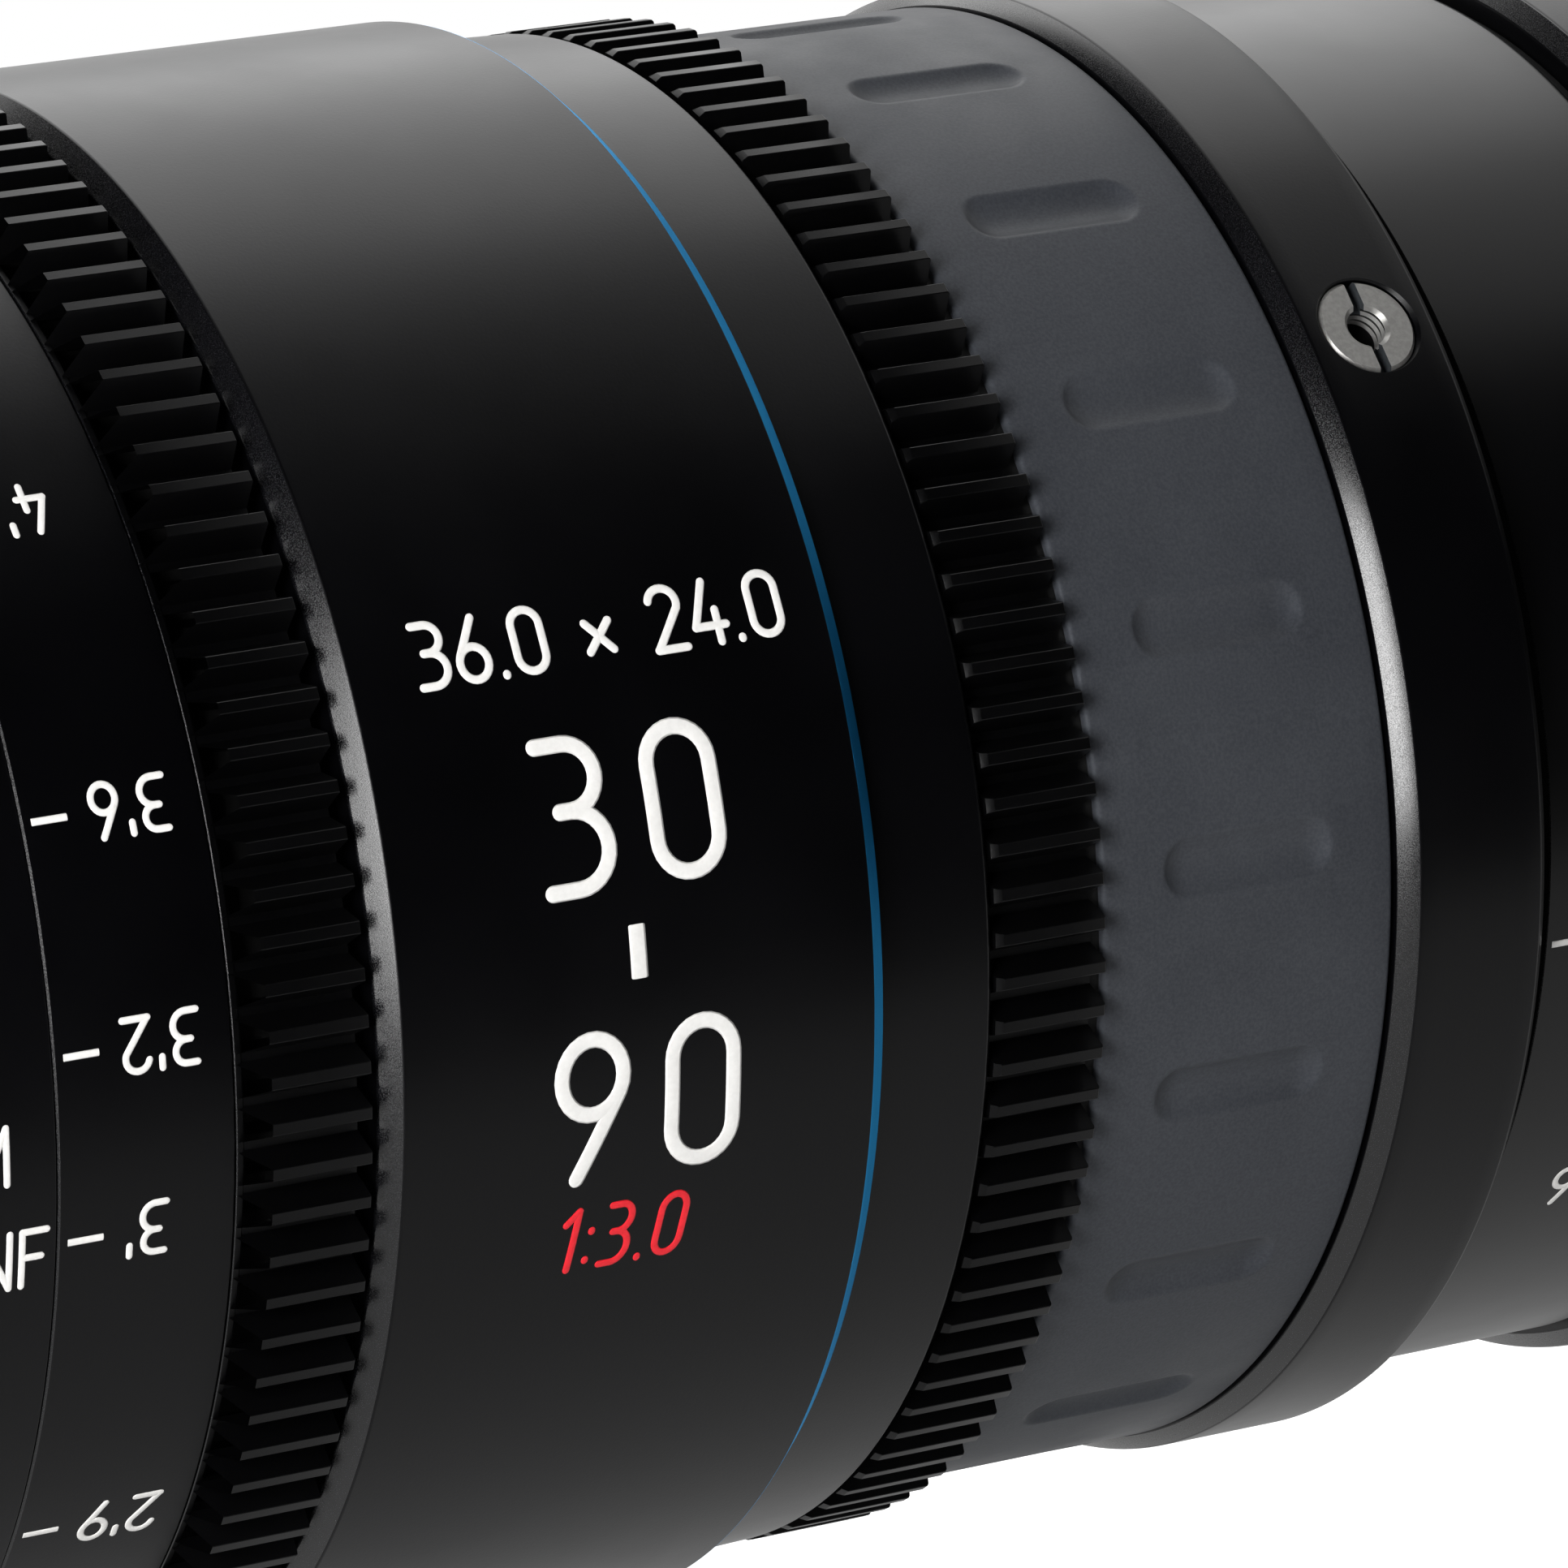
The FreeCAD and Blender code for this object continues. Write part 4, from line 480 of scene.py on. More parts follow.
def spacing(marks):  # places between marks, each mark with its number of steps to the next
    places = []
    for (start, steps), (end, _) in zip(marks, marks[1:]):
        places += [start + (end - start) * i / steps for i in range(steps)]
    return places + [marks[-1][0]]


gripRows = spacing([(grip["front"] + grip["edge"], 2), (gripMiddle - grip["fineOuter"], 14),
                    (gripMiddle - grip["fineInner"], 6), (gripMiddle + grip["fineInner"], 14),
                    (gripMiddle + grip["fineOuter"], 2), (grip["rear"] - grip["edge"], 0)])
halfShare = math.pi / grip["count"] * grip["radius"]
gripColumns = spacing([(-halfShare, 4), (-grip["fineSide"], 26), (grip["fineSide"], 4), (halfShare, 0)])
bm = bmesh.new()
bmesh.ops.create_grid(bm, x_segments=len(gripRows) - 1, y_segments=len(gripColumns) - 1, size=0.5)
for vert in bm.verts:
    x = gripRows[round((vert.co.x + 0.5) * (len(gripRows) - 1))]
    across = gripColumns[round((vert.co.y + 0.5) * (len(gripColumns) - 1))]
    vert.co = spot(x, grip["radius"] - gripDepth(x, across), math.degrees(across / grip["radius"]))
for way, x in ((-1, grip["front"]), (1, grip["rear"])):  # a quarter round at each end, then down to the seat
    rim = [edge for edge in bm.edges if edge.is_boundary and all(
        abs(v.co.x / mm - (x - way * grip["edge"])) < 1e-4 for v in edge.verts)]
    for step in range(1, grip["edgeSteps"] + 2):
        made = bmesh.ops.extrude_edge_only(bm, edges=rim)
        rim = [item for item in made["geom"] if isinstance(item, bmesh.types.BMEdge)]
        place, radius = x, grip["seat"]
        if step <= grip["edgeSteps"]:
            turn = math.radians(90 * step / grip["edgeSteps"])
            place = x - way * grip["edge"] * (1 - math.sin(turn))
            radius = grip["radius"] - grip["edge"] * (1 - math.cos(turn))
        for vert in [item for item in made["geom"] if isinstance(item, bmesh.types.BMVert)]:
            vert.co = spot(place, radius, math.degrees(math.atan2(vert.co.z, -vert.co.y)))
repeatRound(bm, grip["count"])
bmesh.ops.bridge_loops(bm, edges=[edge for edge in bm.edges if edge.is_boundary])
turnOnAxis(bm, grip["phase"])
bmesh.ops.recalc_face_normals(bm, faces=bm.faces)
finishObject("zoomGrip", bm, ["gripRubber"], "zoom_ring", ("zoom_grip",), sharp=40, even=False)
print("grip made")

# Zoom flange with its lever sockets
flange = dict(front=-69.9, rear=-59.9, radius=44.65, frontRise=0.95, frontReach=1.1, rearChamfer=0.65,
              edge=0.05, crestRound=0.10, seat=41.9, cutRings=(-67.5, -66.0, -64.6, -63.2, -61.7),
              socketX=-64.6, phase=25.5, count=3, seatRadius=3.12, sink=0.25, mouth=0.20, mouthRise=0.02,
              cutDepth=2.2, cutHeight=1.0, brightX=-68.86, brightRadius=43.73)
frontRadius = flange["radius"] - flange["frontRise"]
crestX = flange["front"] + flange["frontReach"]
bm = turnedMesh([
    (flange["front"], flange["seat"], 0), (flange["front"], frontRadius, flange["edge"]),
    (crestX, flange["radius"], flange["crestRound"]), *[(x, flange["radius"], 0) for x in flange["cutRings"]],
    (flange["rear"] - flange["rearChamfer"], flange["radius"], flange["crestRound"]),
    (flange["rear"], flange["radius"] - flange["rearChamfer"], flange["edge"]),
    (flange["rear"], flange["seat"], 0),
])
paintFaces(bm, lambda x, r, n: flange["front"] < x < flange["brightX"] and r > flange["brightRadius"], 1)
flangePiece = finishObject("zoomFlange", bm, ["ringBlack", "edgeBlack"], "zoom_ring", ("zoom_flange_ring",),
                           even=False)


def cutWith(piece, bmCutter):  # takes the cutter's shape out of the piece
    cutter = addObject("cutter", meshFrom("cutter", bmCutter))
    cut = piece.modifiers.new("cut", "BOOLEAN")
    cut.operation = "DIFFERENCE"
    cut.solver = "EXACT"
    cut.object = cutter
    graph = bpy.context.evaluated_depsgraph_get()
    result = bpy.data.meshes.new_from_object(piece.evaluated_get(graph))
    old = piece.data
    piece.modifiers.remove(cut)
    piece.data = result
    result.name = old.name
    cutterMesh = cutter.data
    bpy.data.objects.remove(cutter)
    bpy.data.meshes.remove(cutterMesh)
    bpy.data.meshes.remove(old)


def radialPlace(x, angle):  # a frame whose Z points away from the axis at that place
    turn = math.radians(angle)
    out = Vector((0, -math.cos(turn), math.sin(turn)))
    along = Vector((1, 0, 0))
    place = Matrix((along, out.cross(along), out)).transposed().to_4x4()
    place.translation = Vector((x * mm, 0, 0))
    return place


def lathe(outline, steps):  # (radius, height) section turned about Z
    bm, _ = closedLoop([(radius * mm, 0, height * mm) for radius, height in outline])
    spinFull(bm, (0, 0, 1), steps)
    return bm


angles = [flange["phase"] + 360 * index / flange["count"] for index in range(flange["count"])]
places = [radialPlace(flange["socketX"], angle) for angle in angles]
for place in places:
    top = flange["radius"]
    wide = flange["seatRadius"] + flange["mouth"]
    cutter = lathe([(0, top - flange["cutDepth"]), (flange["seatRadius"], top - flange["cutDepth"]),
                    (flange["seatRadius"], top - flange["sink"]), (wide, top + flange["mouthRise"]),
                    (wide, top + flange["cutHeight"]), (0, top + flange["cutHeight"])], 64)
    bmesh.ops.transform(cutter, matrix=place, verts=cutter.verts)
    cutWith(flangePiece, cutter)
smoothShade(flangePiece.data)

socket = dict(radius=3.05, edge=0.20, bore=1.20, foot=42.45, floor=0.1, top=44.48, sink=0.24,
              pitch=0.5, threadDepth=0.27, rootShadeShare=0.7, slotWidth=0.72, slotLength=7.0, slotDepth=0.80,
              threadForm=((1, 0.22), (1, 0.28), (0.63, 0.36)))  # share of the depth, drop from a crest
mouthHeight = socket["top"] - socket["sink"]
holeFloor = socket["foot"] + socket["floor"]
rootShadeRadius = socket["bore"] + socket["threadDepth"] * socket["rootShadeShare"]
outline = [(0, socket["foot"]), (socket["radius"], socket["foot"]),
           (socket["radius"], socket["top"] - socket["edge"]),
           (socket["radius"] - socket["edge"], socket["top"]),
           (socket["bore"] + socket["sink"], socket["top"]), (socket["bore"], mouthHeight)]
height = mouthHeight
while height - socket["pitch"] > holeFloor:  # one thread turn: root, shoulder, crest; root and shoulder get painted shade below
    for share, drop in (*socket["threadForm"], (0, socket["pitch"])):
        outline.append((socket["bore"] + socket["threadDepth"] * share, height - drop))
    height -= socket["pitch"]
outline += [(socket["bore"], holeFloor), (0, holeFloor)]
bm = bmesh.new()
for place in places:
    part = lathe(outline, 72)
    for face in part.faces:
        middle = face.calc_center_median() / mm
        reach = math.hypot(middle.x, middle.y)
        # the hole's floor and the thread roots take the near-black material: painted shade in the hole; the
        # rest of the thread takes a darker steel, also painted shade
        if holeFloor - margin <= middle.z <= mouthHeight and reach <= socket["radius"] - socket["edge"]:
            thread = middle.z >= holeFloor + socket["floor"] and reach <= rootShadeRadius
            face.material_index = 2 if thread else 1
    bmesh.ops.transform(part, matrix=place, verts=part.verts)
    joinInto(bm, part)
socketPiece = finishObject("leverSockets", bm, ["socketSteel", "innerBlackAndShade", "threadShadeSteel", "slotShadeSteel"],
                           "zoom_ring", ("lever_sockets",), even=False)
slotSize = Vector((socket["slotWidth"], socket["slotLength"], 2 * socket["slotDepth"])) * mm
for place in places:
    cutter = bmesh.new()
    bmesh.ops.create_cube(cutter, size=1)
    bmesh.ops.scale(cutter, verts=cutter.verts, vec=slotSize)
    bmesh.ops.translate(cutter, verts=cutter.verts, vec=(0, 0, socket["top"] * mm))
    bmesh.ops.transform(cutter, matrix=place, verts=cutter.verts)
    cutWith(socketPiece, cutter)
for place in places:  # the driver slot's walls and floor take a darker steel: painted shade in the slot
    back = place.inverted()
    for face in socketPiece.data.polygons:
        middle = back @ face.center / mm
        normal = back.to_3x3() @ face.normal
        wall = abs(abs(middle.x) - socket["slotWidth"] / 2) < margin and abs(normal.x) > 0.9
        slotFloor = abs(middle.z - socket["top"] + socket["slotDepth"]) < margin and normal.z > 0.9
        if middle.z > 0 and abs(middle.y) < socket["radius"] + margin and (wall or slotFloor):
            face.material_index = 3
smoothShade(socketPiece.data)
print("flange and sockets made")


# Lettering: round-ended strokes wrapped on the barrel
def arc(cx, cy, rx, ry, start, end, steps=14):
    turns = [math.radians(start + (end - start) * i / steps) for i in range(steps + 1)]
    return [(cx + rx * math.cos(turn), cy + ry * math.sin(turn)) for turn in turns]


glyphs = {  # width, then strokes on centre lines, height 1
    "0": (0.50, [arc(0.25, 0.75, 0.25, 0.25, 0, 180) + arc(0.25, 0.25, 0.25, 0.25, 180, 360)
                 + [(0.5, 0.75)]]),
    "1": (0.26, [[(0.0, 0.80), (0.22, 1.0)], [(0.22, 1.0), (0.22, 0.0)]]),
    "2": (0.50, [arc(0.25, 0.75, 0.25, 0.25, 165, -22) + [(0.02, 0.02)], [(0.0, 0.0), (0.52, 0.0)]]),
    "3": (0.50, [[(0.04, 1.0)] + arc(0.25, 0.77, 0.23, 0.23, 90, -90) + [(0.16, 0.54)],
                 arc(0.24, 0.27, 0.27, 0.27, 88, -90) + [(0.02, 0.0)]]),
    "4": (0.52, [[(0.28, 1.0), (0.0, 0.27)], [(0.0, 0.27), (0.54, 0.27)], [(0.40, 0.52), (0.40, 0.0)]]),
    "5": (0.48, [[(0.47, 1.0), (0.04, 1.0)], [(0.04, 1.0), (0.04, 0.59)],
                 [(0.04, 0.59), (0.20, 0.59)] + arc(0.22, 0.295, 0.27, 0.295, 90, -90)
                 + [(0.20, 0.0), (0.02, 0.0)]]),
    "6": (0.50, [[(0.36, 1.0), (0.03, 0.40)], arc(0.25, 0.27, 0.25, 0.27, 0, 360, 26)]),
    "7": (0.48, [[(0.0, 1.0), (0.48, 1.0)], [(0.48, 1.0), (0.14, 0.0)]]),
    "8": (0.52, [arc(0.26, 0.765, 0.225, 0.235, -90, 270, 26), arc(0.26, 0.265, 0.26, 0.265, 90, 450, 28)]),
    "9": (0.50, [[(0.14, 0.0), (0.47, 0.60)], arc(0.25, 0.73, 0.25, 0.27, 0, 360, 26)]),
    "x": (0.42, [[(0.0, 0.15), (0.42, 0.62)], [(0.0, 0.62), (0.42, 0.15)]]),
    ".": (0.04, [[(0.02, 0.0), (0.02, 0.012)]]),
    ":": (0.04, [[(0.02, 0.12), (0.02, 0.13)], [(0.02, 0.62), (0.02, 0.63)]]),
    "'": (0.05, [[(0.03, 1.0), (0.03, 0.80)]]),
    "M": (0.62, [[(0.0, 0.0), (0.0, 1.0)], [(0.0, 1.0), (0.31, 0.32)], [(0.31, 0.32), (0.62, 1.0)],
                 [(0.62, 1.0), (0.62, 0.0)]]),
    "I": (0.02, [[(0.0, 0.0), (0.0, 1.0)]]),
    "N": (0.52, [[(0.0, 0.0), (0.0, 1.0)], [(0.0, 1.0), (0.52, 0.0)], [(0.52, 0.0), (0.52, 1.0)]]),
    "F": (0.44, [[(0.46, 1.0), (0.0, 1.0)], [(0.0, 1.0), (0.0, 0.0)], [(0.0, 0.52), (0.36, 0.52)]]),
    " ": (0.30, []),
}
brush = dict(proud=0.035, cut=0.4,  # caps: reach past the stroke's end and width there, in half strokes
             roundCap=[(1.0, 0.05), (0.97, 0.24), (0.87, 0.5), (0.66, 0.75), (0.35, 0.94)],
             squareCap=[(0.30, 0.75), (0.27, 0.9), (0.15, 1.0)])


def textStrokes(text, height, gap, slant=0.0):  # strokes in millimetres from the text's lower left
    strokes, cursor = [], 0.0
    for letter in text:
        width, lines = glyphs[letter]
        for line in lines:
            strokes.append([((cursor + u + slant * v) * height, v * height) for u, v in line])
        cursor += width + gap
    return strokes, (cursor - gap) * height


def ribbonPoints(stroke, half, caps):  # evenly cut, with points that round the two ends
    points = [Vector((u, v)) for u, v in stroke]
    fine = [points[0]]
    for a, b in zip(points, points[1:]):
        cuts = max(1, int((b - a).length / brush["cut"]))
        fine += [a.lerp(b, (i + 1) / cuts) for i in range(cuts)]
    if (points[0] - points[-1]).length < 1e-6:
        return [(p, 1.0) for p in fine[:-1]], True
    start = (fine[0] - fine[1]).normalized()
    end = (fine[-1] - fine[-2]).normalized()
    first = [(fine[0] + start * half * reach, wide) for reach, wide in caps]
    last = [(fine[-1] + end * half * reach, wide) for reach, wide in reversed(caps)]
    return first + [(p, 1.0) for p in fine] + last, False


def paintLabel(name, strokes, thickness, place, material, body, caps=brush["roundCap"]):
    # place turns (u, v) into (x, radius, angle)
    half = thickness / 2
    curve = bpy.data.curves.new(name, "CURVE")
    curve.dimensions = "3D"
    curve.bevel_mode = "ROUND"
    curve.bevel_depth = half * mm
    curve.bevel_resolution = 2
    curve.use_fill_caps = True
    for stroke in strokes:
        points, closed = ribbonPoints(stroke, half, caps)
        spline = curve.splines.new("POLY")
        spline.points.add(len(points) - 1)
        spline.use_cyclic_u = closed
        for target, (flat, wide) in zip(spline.points, points):
            target.co = (flat.x * mm, flat.y * mm, 0, 1)
            target.radius = wide
    holder = bpy.data.objects.new("holder", curve)
    mesh = bpy.data.meshes.new_from_object(holder)
    bpy.data.objects.remove(holder)
    bpy.data.curves.remove(curve)
    bm = bmesh.new()
    bm.from_mesh(mesh)
    bpy.data.meshes.remove(mesh)
    for vert in bm.verts:
        rise = min(abs(vert.co.z) / (half * mm), 1.0) ** 0.4 * brush["proud"]
        x, radius, angle = place(vert.co.x / mm, vert.co.y / mm)
        vert.co = spot(x, radius + math.copysign(rise, vert.co.z), angle)
    bmesh.ops.recalc_face_normals(bm, faces=bm.faces)
    mesh = meshFrom(name, bm)
    mesh.materials.append(materials[material])
    mesh.shade_smooth()
    piece = addObject(name, mesh)
    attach(piece, body)


def upright(x0, angle0, radius):  # reads towards +X, its top towards the lens's top
    return lambda u, v: (x0 + u, radius, angle0 + math.degrees(v / radius))


def inverted(x0, angle0, radius):  # the same text turned half round
    return lambda u, v: (x0 - u, radius, angle0 - math.degrees(v / radius))


def paintTick(name, scale, x, angle, length, body):
    paintLabel(name, [[(0, 0), (length, 0)]], scale["stroke"], upright(x, angle, scale["radius"]),
               "paintWhite", body, brush["squareCap"])


def paintNumber(name, text, scale, x, angle, paint, body, toEnd=False):  # x is where it starts, or ends
    strokes, full = textStrokes(text, scale["height"], scale["gap"])
    low = angle - math.degrees(scale["height"] / 2 / scale["radius"])
    start = x - full if toEnd else x
    paintLabel(name, strokes, scale["stroke"], upright(start, low, scale["radius"]), paint, body)


casingRows = [
    # text, left x, baseline angle, width, height, stroke, gap, slant, material
    ("36.0 x 24.0", -131.8, 8.6, 22.6, 3.45, 0.50, 0.24, 0.0, "paintWhite"),
    ("30", -126.3, -6.3, 10.8, 8.0, 0.96, 0.40, 0.0, "paintWhite"),
    ("90", -126.3, -26.3, 10.8, 8.0, 0.96, 0.40, 0.0, "paintWhite"),
    ("1:3.0", -126.0, -33.2, 7.6, 3.6, 0.46, 0.28, 0.16, "paintRed"),
]
for index, (text, x, angle, width, height, thick, gap, slant, paint) in enumerate(casingRows):
    strokes, full = textStrokes(text, height, gap, slant)
    strokes = [[(u * width / full, v) for u, v in stroke] for stroke in strokes]
    place = upright(x, angle, casing["radius"])
    paintLabel("casingRow%d" % (index + 1), strokes, thick, place, paint, "barrel")
dash = dict(x=-121.25, angle=-11.04, reach=1.35, stroke=1.05)
paintLabel("casingDash", [[(0, -dash["reach"]), (0, dash["reach"])]], dash["stroke"],
           upright(dash["x"], dash["angle"], casing["radius"]), "paintWhite", "barrel", brush["squareCap"])

feetScale = dict(radius=45.55, tickX=-155.6, tickLength=2.0, textEnd=-152.0, height=2.85, stroke=0.42,
                 gap=0.24)
feet = [("2'9", -49.6), ("3'", -24.8), ("3'2", -11.8), ("3'6", 4.1), ("4'", 25.8), ("5'", 52.0), ("6'", 79.0),
        ("7'", 101.0), ("10'", 130.0), ("15'", 156.0), ("30'", 186.0), ("INF", 220.4)]
for text, angle in feet:
    strokes, full = textStrokes(text, feetScale["height"], feetScale["gap"])
    high = angle + math.degrees(feetScale["height"] / 2 / feetScale["radius"])
    label = text.replace("'", "ft")
    paintLabel("feet_" + label, strokes, feetScale["stroke"],
               inverted(feetScale["textEnd"] + full, high, feetScale["radius"]), "paintWhite", "focus_ring")
    paintTick("feetTick_" + label, feetScale, feetScale["tickX"], angle, feetScale["tickLength"],
              "focus_ring")

metreScale = dict(radius=45.55, height=3.1, stroke=0.42, gap=0.24, endlessX=-157.0, numberX=-160.0,
                  unitX=-161.2, unitAngle=-17.8503)
metres = [("8", -48.0), ("4", -78.0), ("2.5", -104.0), ("2", -126.0), ("1.5", -156.0), ("1.2", -186.0),
          ("1.1", -216.0), ("1.0", -248.0), ("0.9", -270.0), ("0.8", -295.4)]
paintNumber("metre_INF", "INF", metreScale, metreScale["endlessX"], -25.4, "paintWhite", "focus_ring", True)
for text, angle in metres:
    paintNumber("metre_" + text.replace(".", "p"), text, metreScale, metreScale["numberX"], angle,
                "paintOrange", "focus_ring", True)
paintNumber("metreUnit", "M", metreScale, metreScale["unitX"], metreScale["unitAngle"], "paintWhite",
            "focus_ring")

zoomScale = dict(radius=42.2, indexX=-57.8, indexLength=3.4, indexAngle=-25.0, textX=-53.35, markX=-43.6,
                 markLength=1.8, height=2.9, stroke=0.42, gap=0.24)
lengths = [("90", -50.0), ("75", -100.0), ("60", -120.0), ("50", -140.0), ("40", -160.0), ("35", -180.0),
           ("30", -200.0)]
paintTick("lengthIndex", zoomScale, zoomScale["indexX"], zoomScale["indexAngle"], zoomScale["indexLength"],
          "barrel")
for text, angle in lengths:
    paintNumber("length_" + text, text, zoomScale, zoomScale["textX"], angle, "paintWhite", "barrel")
    paintTick("lengthTick_" + text, zoomScale, zoomScale["markX"], angle, zoomScale["markLength"], "barrel")
print("lettering made")

# Carried-over nodes: their shapes stay, each gets its finish
lookNodes = {
    "innerBlackAndShade": ["main_barrel", "guide_barrel", "cam_lock_ring", "iris_cover_plate", "iris_base_plate",
                   "iris_actuator", "relay_cell", "relay_spacer", "focus_cam_sleeve", "focus_cell",
                   "focus_lock_ring", "zoom_carrier", "zoom_cam_barrel", "variator_cell",
                   "variator_lock_ring", "compensator_cell", "compensator_lock_ring",
                   *["iris_blade_%d" % n for n in range(1, 10)]],
    "ringBlack": ["rear_lock_ring"],
    "washerBlack": ["focus_washers", "zoom_washers", "iris_washers"],
    "stainless": ["collar_screws", "mount_screws", "iris_drive_pin", "focus_followers", "zoom_keys",
                  "variator_followers", "compensator_followers"],
    "mountSteel": ["mount_flange"],
    "frontGlass": ["front_element"],
    "innerGlass": ["second_element", "relay_element", "rear_element", "variator_element",
                   "compensator_element"],
}
for look, nodes in lookNodes.items():
    for node in nodes:
        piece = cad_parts[node]
        piece.data.materials.clear()
        piece.data.materials.append(materials[look])
print("carried nodes finished:", sum(len(nodes) for nodes in lookNodes.values()))

# Floor, cards, lamps and camera, in metres
studio = dict(floor=-0.070, reach=6.0, floorTone=0.90, world=0.80, backdrop=1.0, lift=0.42)
mat, shader, tree = newMaterial("floorWhite")
shader.inputs["Base Color"].default_value = (*[studio["floorTone"]] * 3, 1)
shader.inputs["Roughness"].default_value = 0.9
shader.inputs["Specular IOR Level"].default_value = 0.1
glow = tree.nodes.new("ShaderNodeEmission")  # lifts the floor to white where the camera sees it
rays = tree.nodes.new("ShaderNodeLightPath")
lift = mathNode(tree, "MULTIPLY", rays.outputs["Is Camera Ray"], studio["lift"])
tree.links.new(lift, glow.inputs["Strength"])
floorSum = tree.nodes.new("ShaderNodeAddShader")
floorOut = next(node for node in tree.nodes if node.type == "OUTPUT_MATERIAL")
tree.links.new(shader.outputs["BSDF"], floorSum.inputs[0])
tree.links.new(glow.outputs[0], floorSum.inputs[1])
tree.links.new(floorSum.outputs[0], floorOut.inputs["Surface"])
bm = bmesh.new()
bmesh.ops.create_grid(bm, x_segments=1, y_segments=1, size=studio["reach"])
bmesh.ops.translate(bm, verts=bm.verts, vec=(0, 0, studio["floor"]))
floor = addObject("floor", meshFrom("floor", bm))
floor.data.materials.append(mat)
floor.visible_glossy = False  # the lens mirrors the white backdrop, not its own shadow

# Cards that only reflections see: dark ones keep the black finish deep, a bright one lights the chamfers.
# A bent card is given by its front and rear X, and by its lowest and highest angle round the lens.
cards = dict(radius=1.15, tone=0.004, aim=(-0.10, 0, 0), lowGlow=0.66, low=[(-2.6, 2.0, -165, -36)],
             dark=[(-2.6, -0.40, -36, 150), (-0.40, 0.51, -36, 72), (0.51, 0.535, -36, 60),
                   (0.535, 0.56, -36, 57), (0.56, 0.585, -36, 54), (0.585, 2.0, -36, 52)],
             stripAt=(-0.505, -0.360, 0.000), strip=(0.17, 0.36), stripTone=0.8, stripGlow=14.0,
             rearAt=(3.0, -0.75, 0.09), rear=(2.2, 1.50))


def cardObject(name, bm, tone, glow, passedBy):  # passedBy lists the rays that don't see it
    mat, shader, _ = newMaterial(name)
    shader.inputs["Base Color"].default_value = (tone, tone, tone, 1)
    shader.inputs["Roughness"].default_value = 1.0
    shader.inputs["Specular IOR Level"].default_value = 0.0
    shader.inputs["Emission Color"].default_value = (1, 1, 1, 1)
    shader.inputs["Emission Strength"].default_value = glow
    mat.cycles.emission_sampling = "NONE"
    card = addObject(name, meshFrom(name, bm))
    card.data.materials.append(mat)
    for ray in passedBy:
        setattr(card, "visible_" + ray, False)


def bentCard(bm, frontX, rearX, lowAngle, highAngle):  # part of a large tube about the lens's axis
    low = math.radians(lowAngle)
    ends = [bm.verts.new((x, -cards["radius"] * math.cos(low), cards["radius"] * math.sin(low)))
            for x in (frontX, rearX)]
    edge = bm.edges.new(ends)
    bmesh.ops.spin(bm, geom=[*ends, edge], cent=(0, 0, 0), axis=(-1, 0, 0), dvec=(0, 0, 0),
                   angle=math.radians(highAngle - lowAngle), steps=24)


def facing(spotAt, lean):  # a frame at spotAt whose Z points away from the lens; lean is its Y's way
    back = (Vector(spotAt) - Vector(cards["aim"])).normalized()
    side = Vector(lean).cross(back).normalized()
    return Matrix.Translation(spotAt) @ Matrix((side, back.cross(side), back)).transposed().to_4x4()


passing = ["camera", "transmission", "volume_scatter"]
reflectedOnly = passing + ["diffuse", "shadow"]
for name, key, glow, passedBy in (("darkCard", "dark", 0, passing),
                                  ("lowCard", "low", cards["lowGlow"], reflectedOnly)):
    bm = bmesh.new()
    for frontX, rearX, low, high in cards[key]:
        bentCard(bm, frontX, rearX, low, high)
    cardObject(name, bm, cards["tone"], glow, passedBy)
for name, key, tone, glow in (("stripCard", "strip", cards["stripTone"], cards["stripGlow"]),
                              ("rearCard", "rear", cards["tone"], 0)):
    bm = bmesh.new()
    bmesh.ops.create_grid(bm, x_segments=1, y_segments=1, size=0.5)
    bmesh.ops.scale(bm, verts=bm.verts, vec=(*cards[key], 1))
    bmesh.ops.transform(bm, matrix=facing(cards[key + "At"], (0, 0, 1)), verts=bm.verts)
    cardObject(name, bm, tone, glow, reflectedOnly)

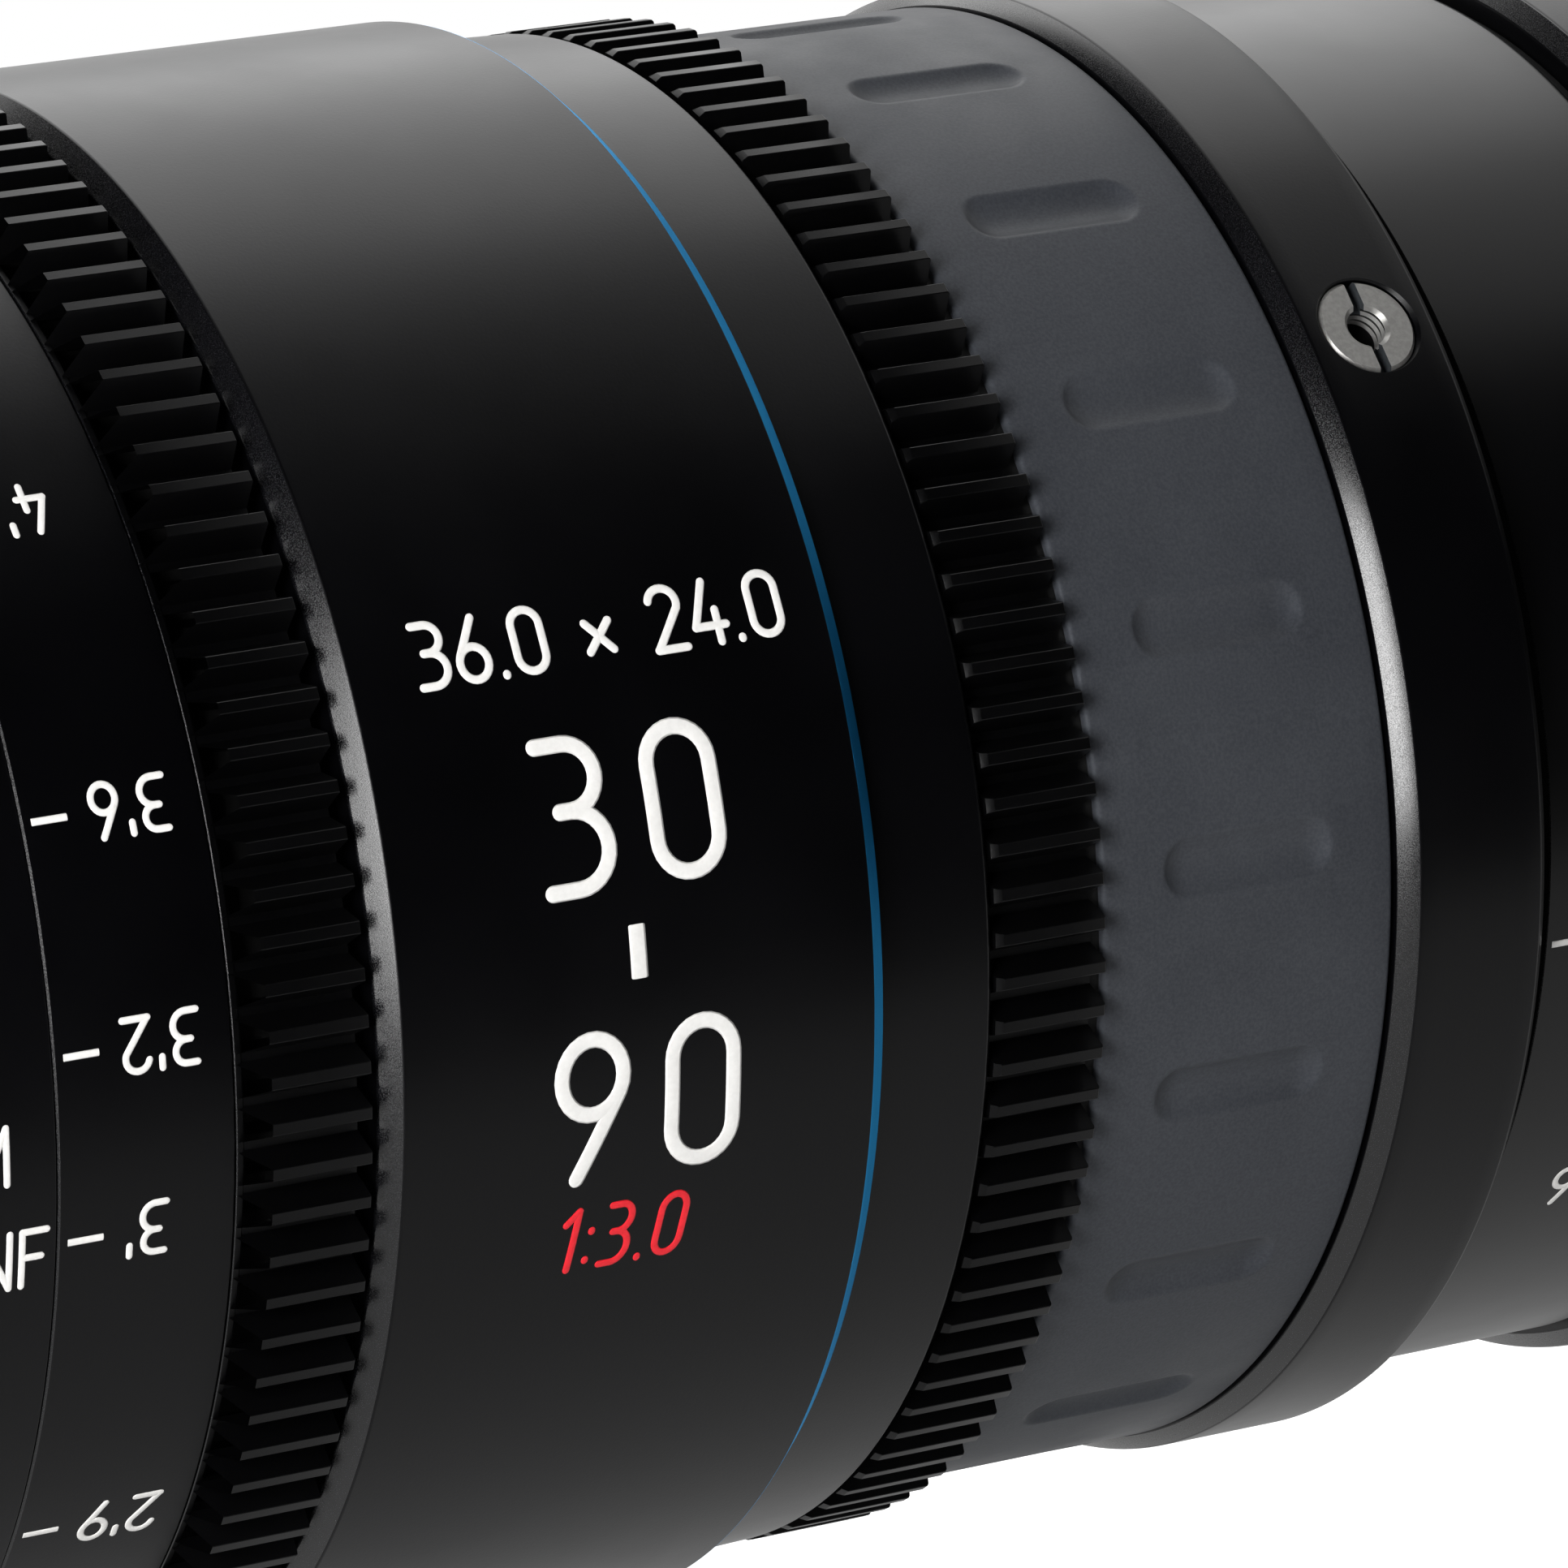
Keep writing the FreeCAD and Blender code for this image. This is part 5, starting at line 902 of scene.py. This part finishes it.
world = bpy.data.worlds.new("studioWorld")
bpy.context.scene.world = world
world.use_nodes = True
tree = world.node_tree
tree.nodes.clear()
rays = tree.nodes.new("ShaderNodeLightPath")
seen = mathNode(tree, "MAXIMUM", rays.outputs["Is Camera Ray"], rays.outputs["Is Transmission Ray"])
seen = mathNode(tree, "MAXIMUM", seen, rays.outputs["Is Glossy Ray"])
both = tree.nodes.new("ShaderNodeMixShader")
tree.links.new(seen, both.inputs["Fac"])
for index, strength in ((1, studio["world"]), (2, studio["backdrop"])):  # what lights, what is seen
    fill = tree.nodes.new("ShaderNodeBackground")
    fill.inputs["Color"].default_value = (1, 1, 1, 1)
    fill.inputs["Strength"].default_value = strength
    tree.links.new(fill.outputs[0], both.inputs[index])
worldOut = tree.nodes.new("ShaderNodeOutputWorld")
tree.links.new(both.outputs[0], worldOut.inputs["Surface"])

lamps = {
    "overhead": dict(at=(0.16, 0.46, 0.98), lean=(0, 1, -0.5), size=(1.0, 1.15), power=6.5, glossy=True),
    "sideStrip": dict(at=(-0.505, -0.360, 0.06), lean=(0, 0, 1), size=(0.17, 0.26), power=3.5, glossy=False),
}
for name, lamp in lamps.items():
    light = bpy.data.lights.new(name, "AREA")
    light.shape = "RECTANGLE"
    light.size, light.size_y = lamp["size"]
    light.energy = lamp["power"]
    holder = addObject(name, light)
    holder.matrix_world = facing(lamp["at"], lamp["lean"])
    holder.visible_camera = False
    holder.visible_glossy = lamp["glossy"]

# The camera was fitted to the rings in the photograph, in its own 1932 pixels
photo = dict(pixels=1932, focalPixels=12975.2, sensor=36, at=(-0.391927, -0.550539, 0),
             right=(0.86151, -0.48066, -0.1636), ahead=(0.4869, 0.87346, -0.00223))
camera = bpy.data.cameras.new("photoCamera")
camera.lens = photo["focalPixels"] / photo["pixels"] * photo["sensor"]
camera.sensor_width = photo["sensor"]
camera.clip_start = 0.01
ahead = Vector(photo["ahead"]).normalized()
up = Vector(photo["right"]).cross(ahead).normalized()
turned = Matrix((ahead.cross(up).normalized(), up, -ahead)).transposed().to_4x4()
view = addObject("photoCamera", camera)
view.matrix_world = Matrix.Translation(photo["at"]) @ turned
bpy.context.scene.camera = view
bpy.context.scene.view_settings.view_transform = "Standard"

print("scene ready")
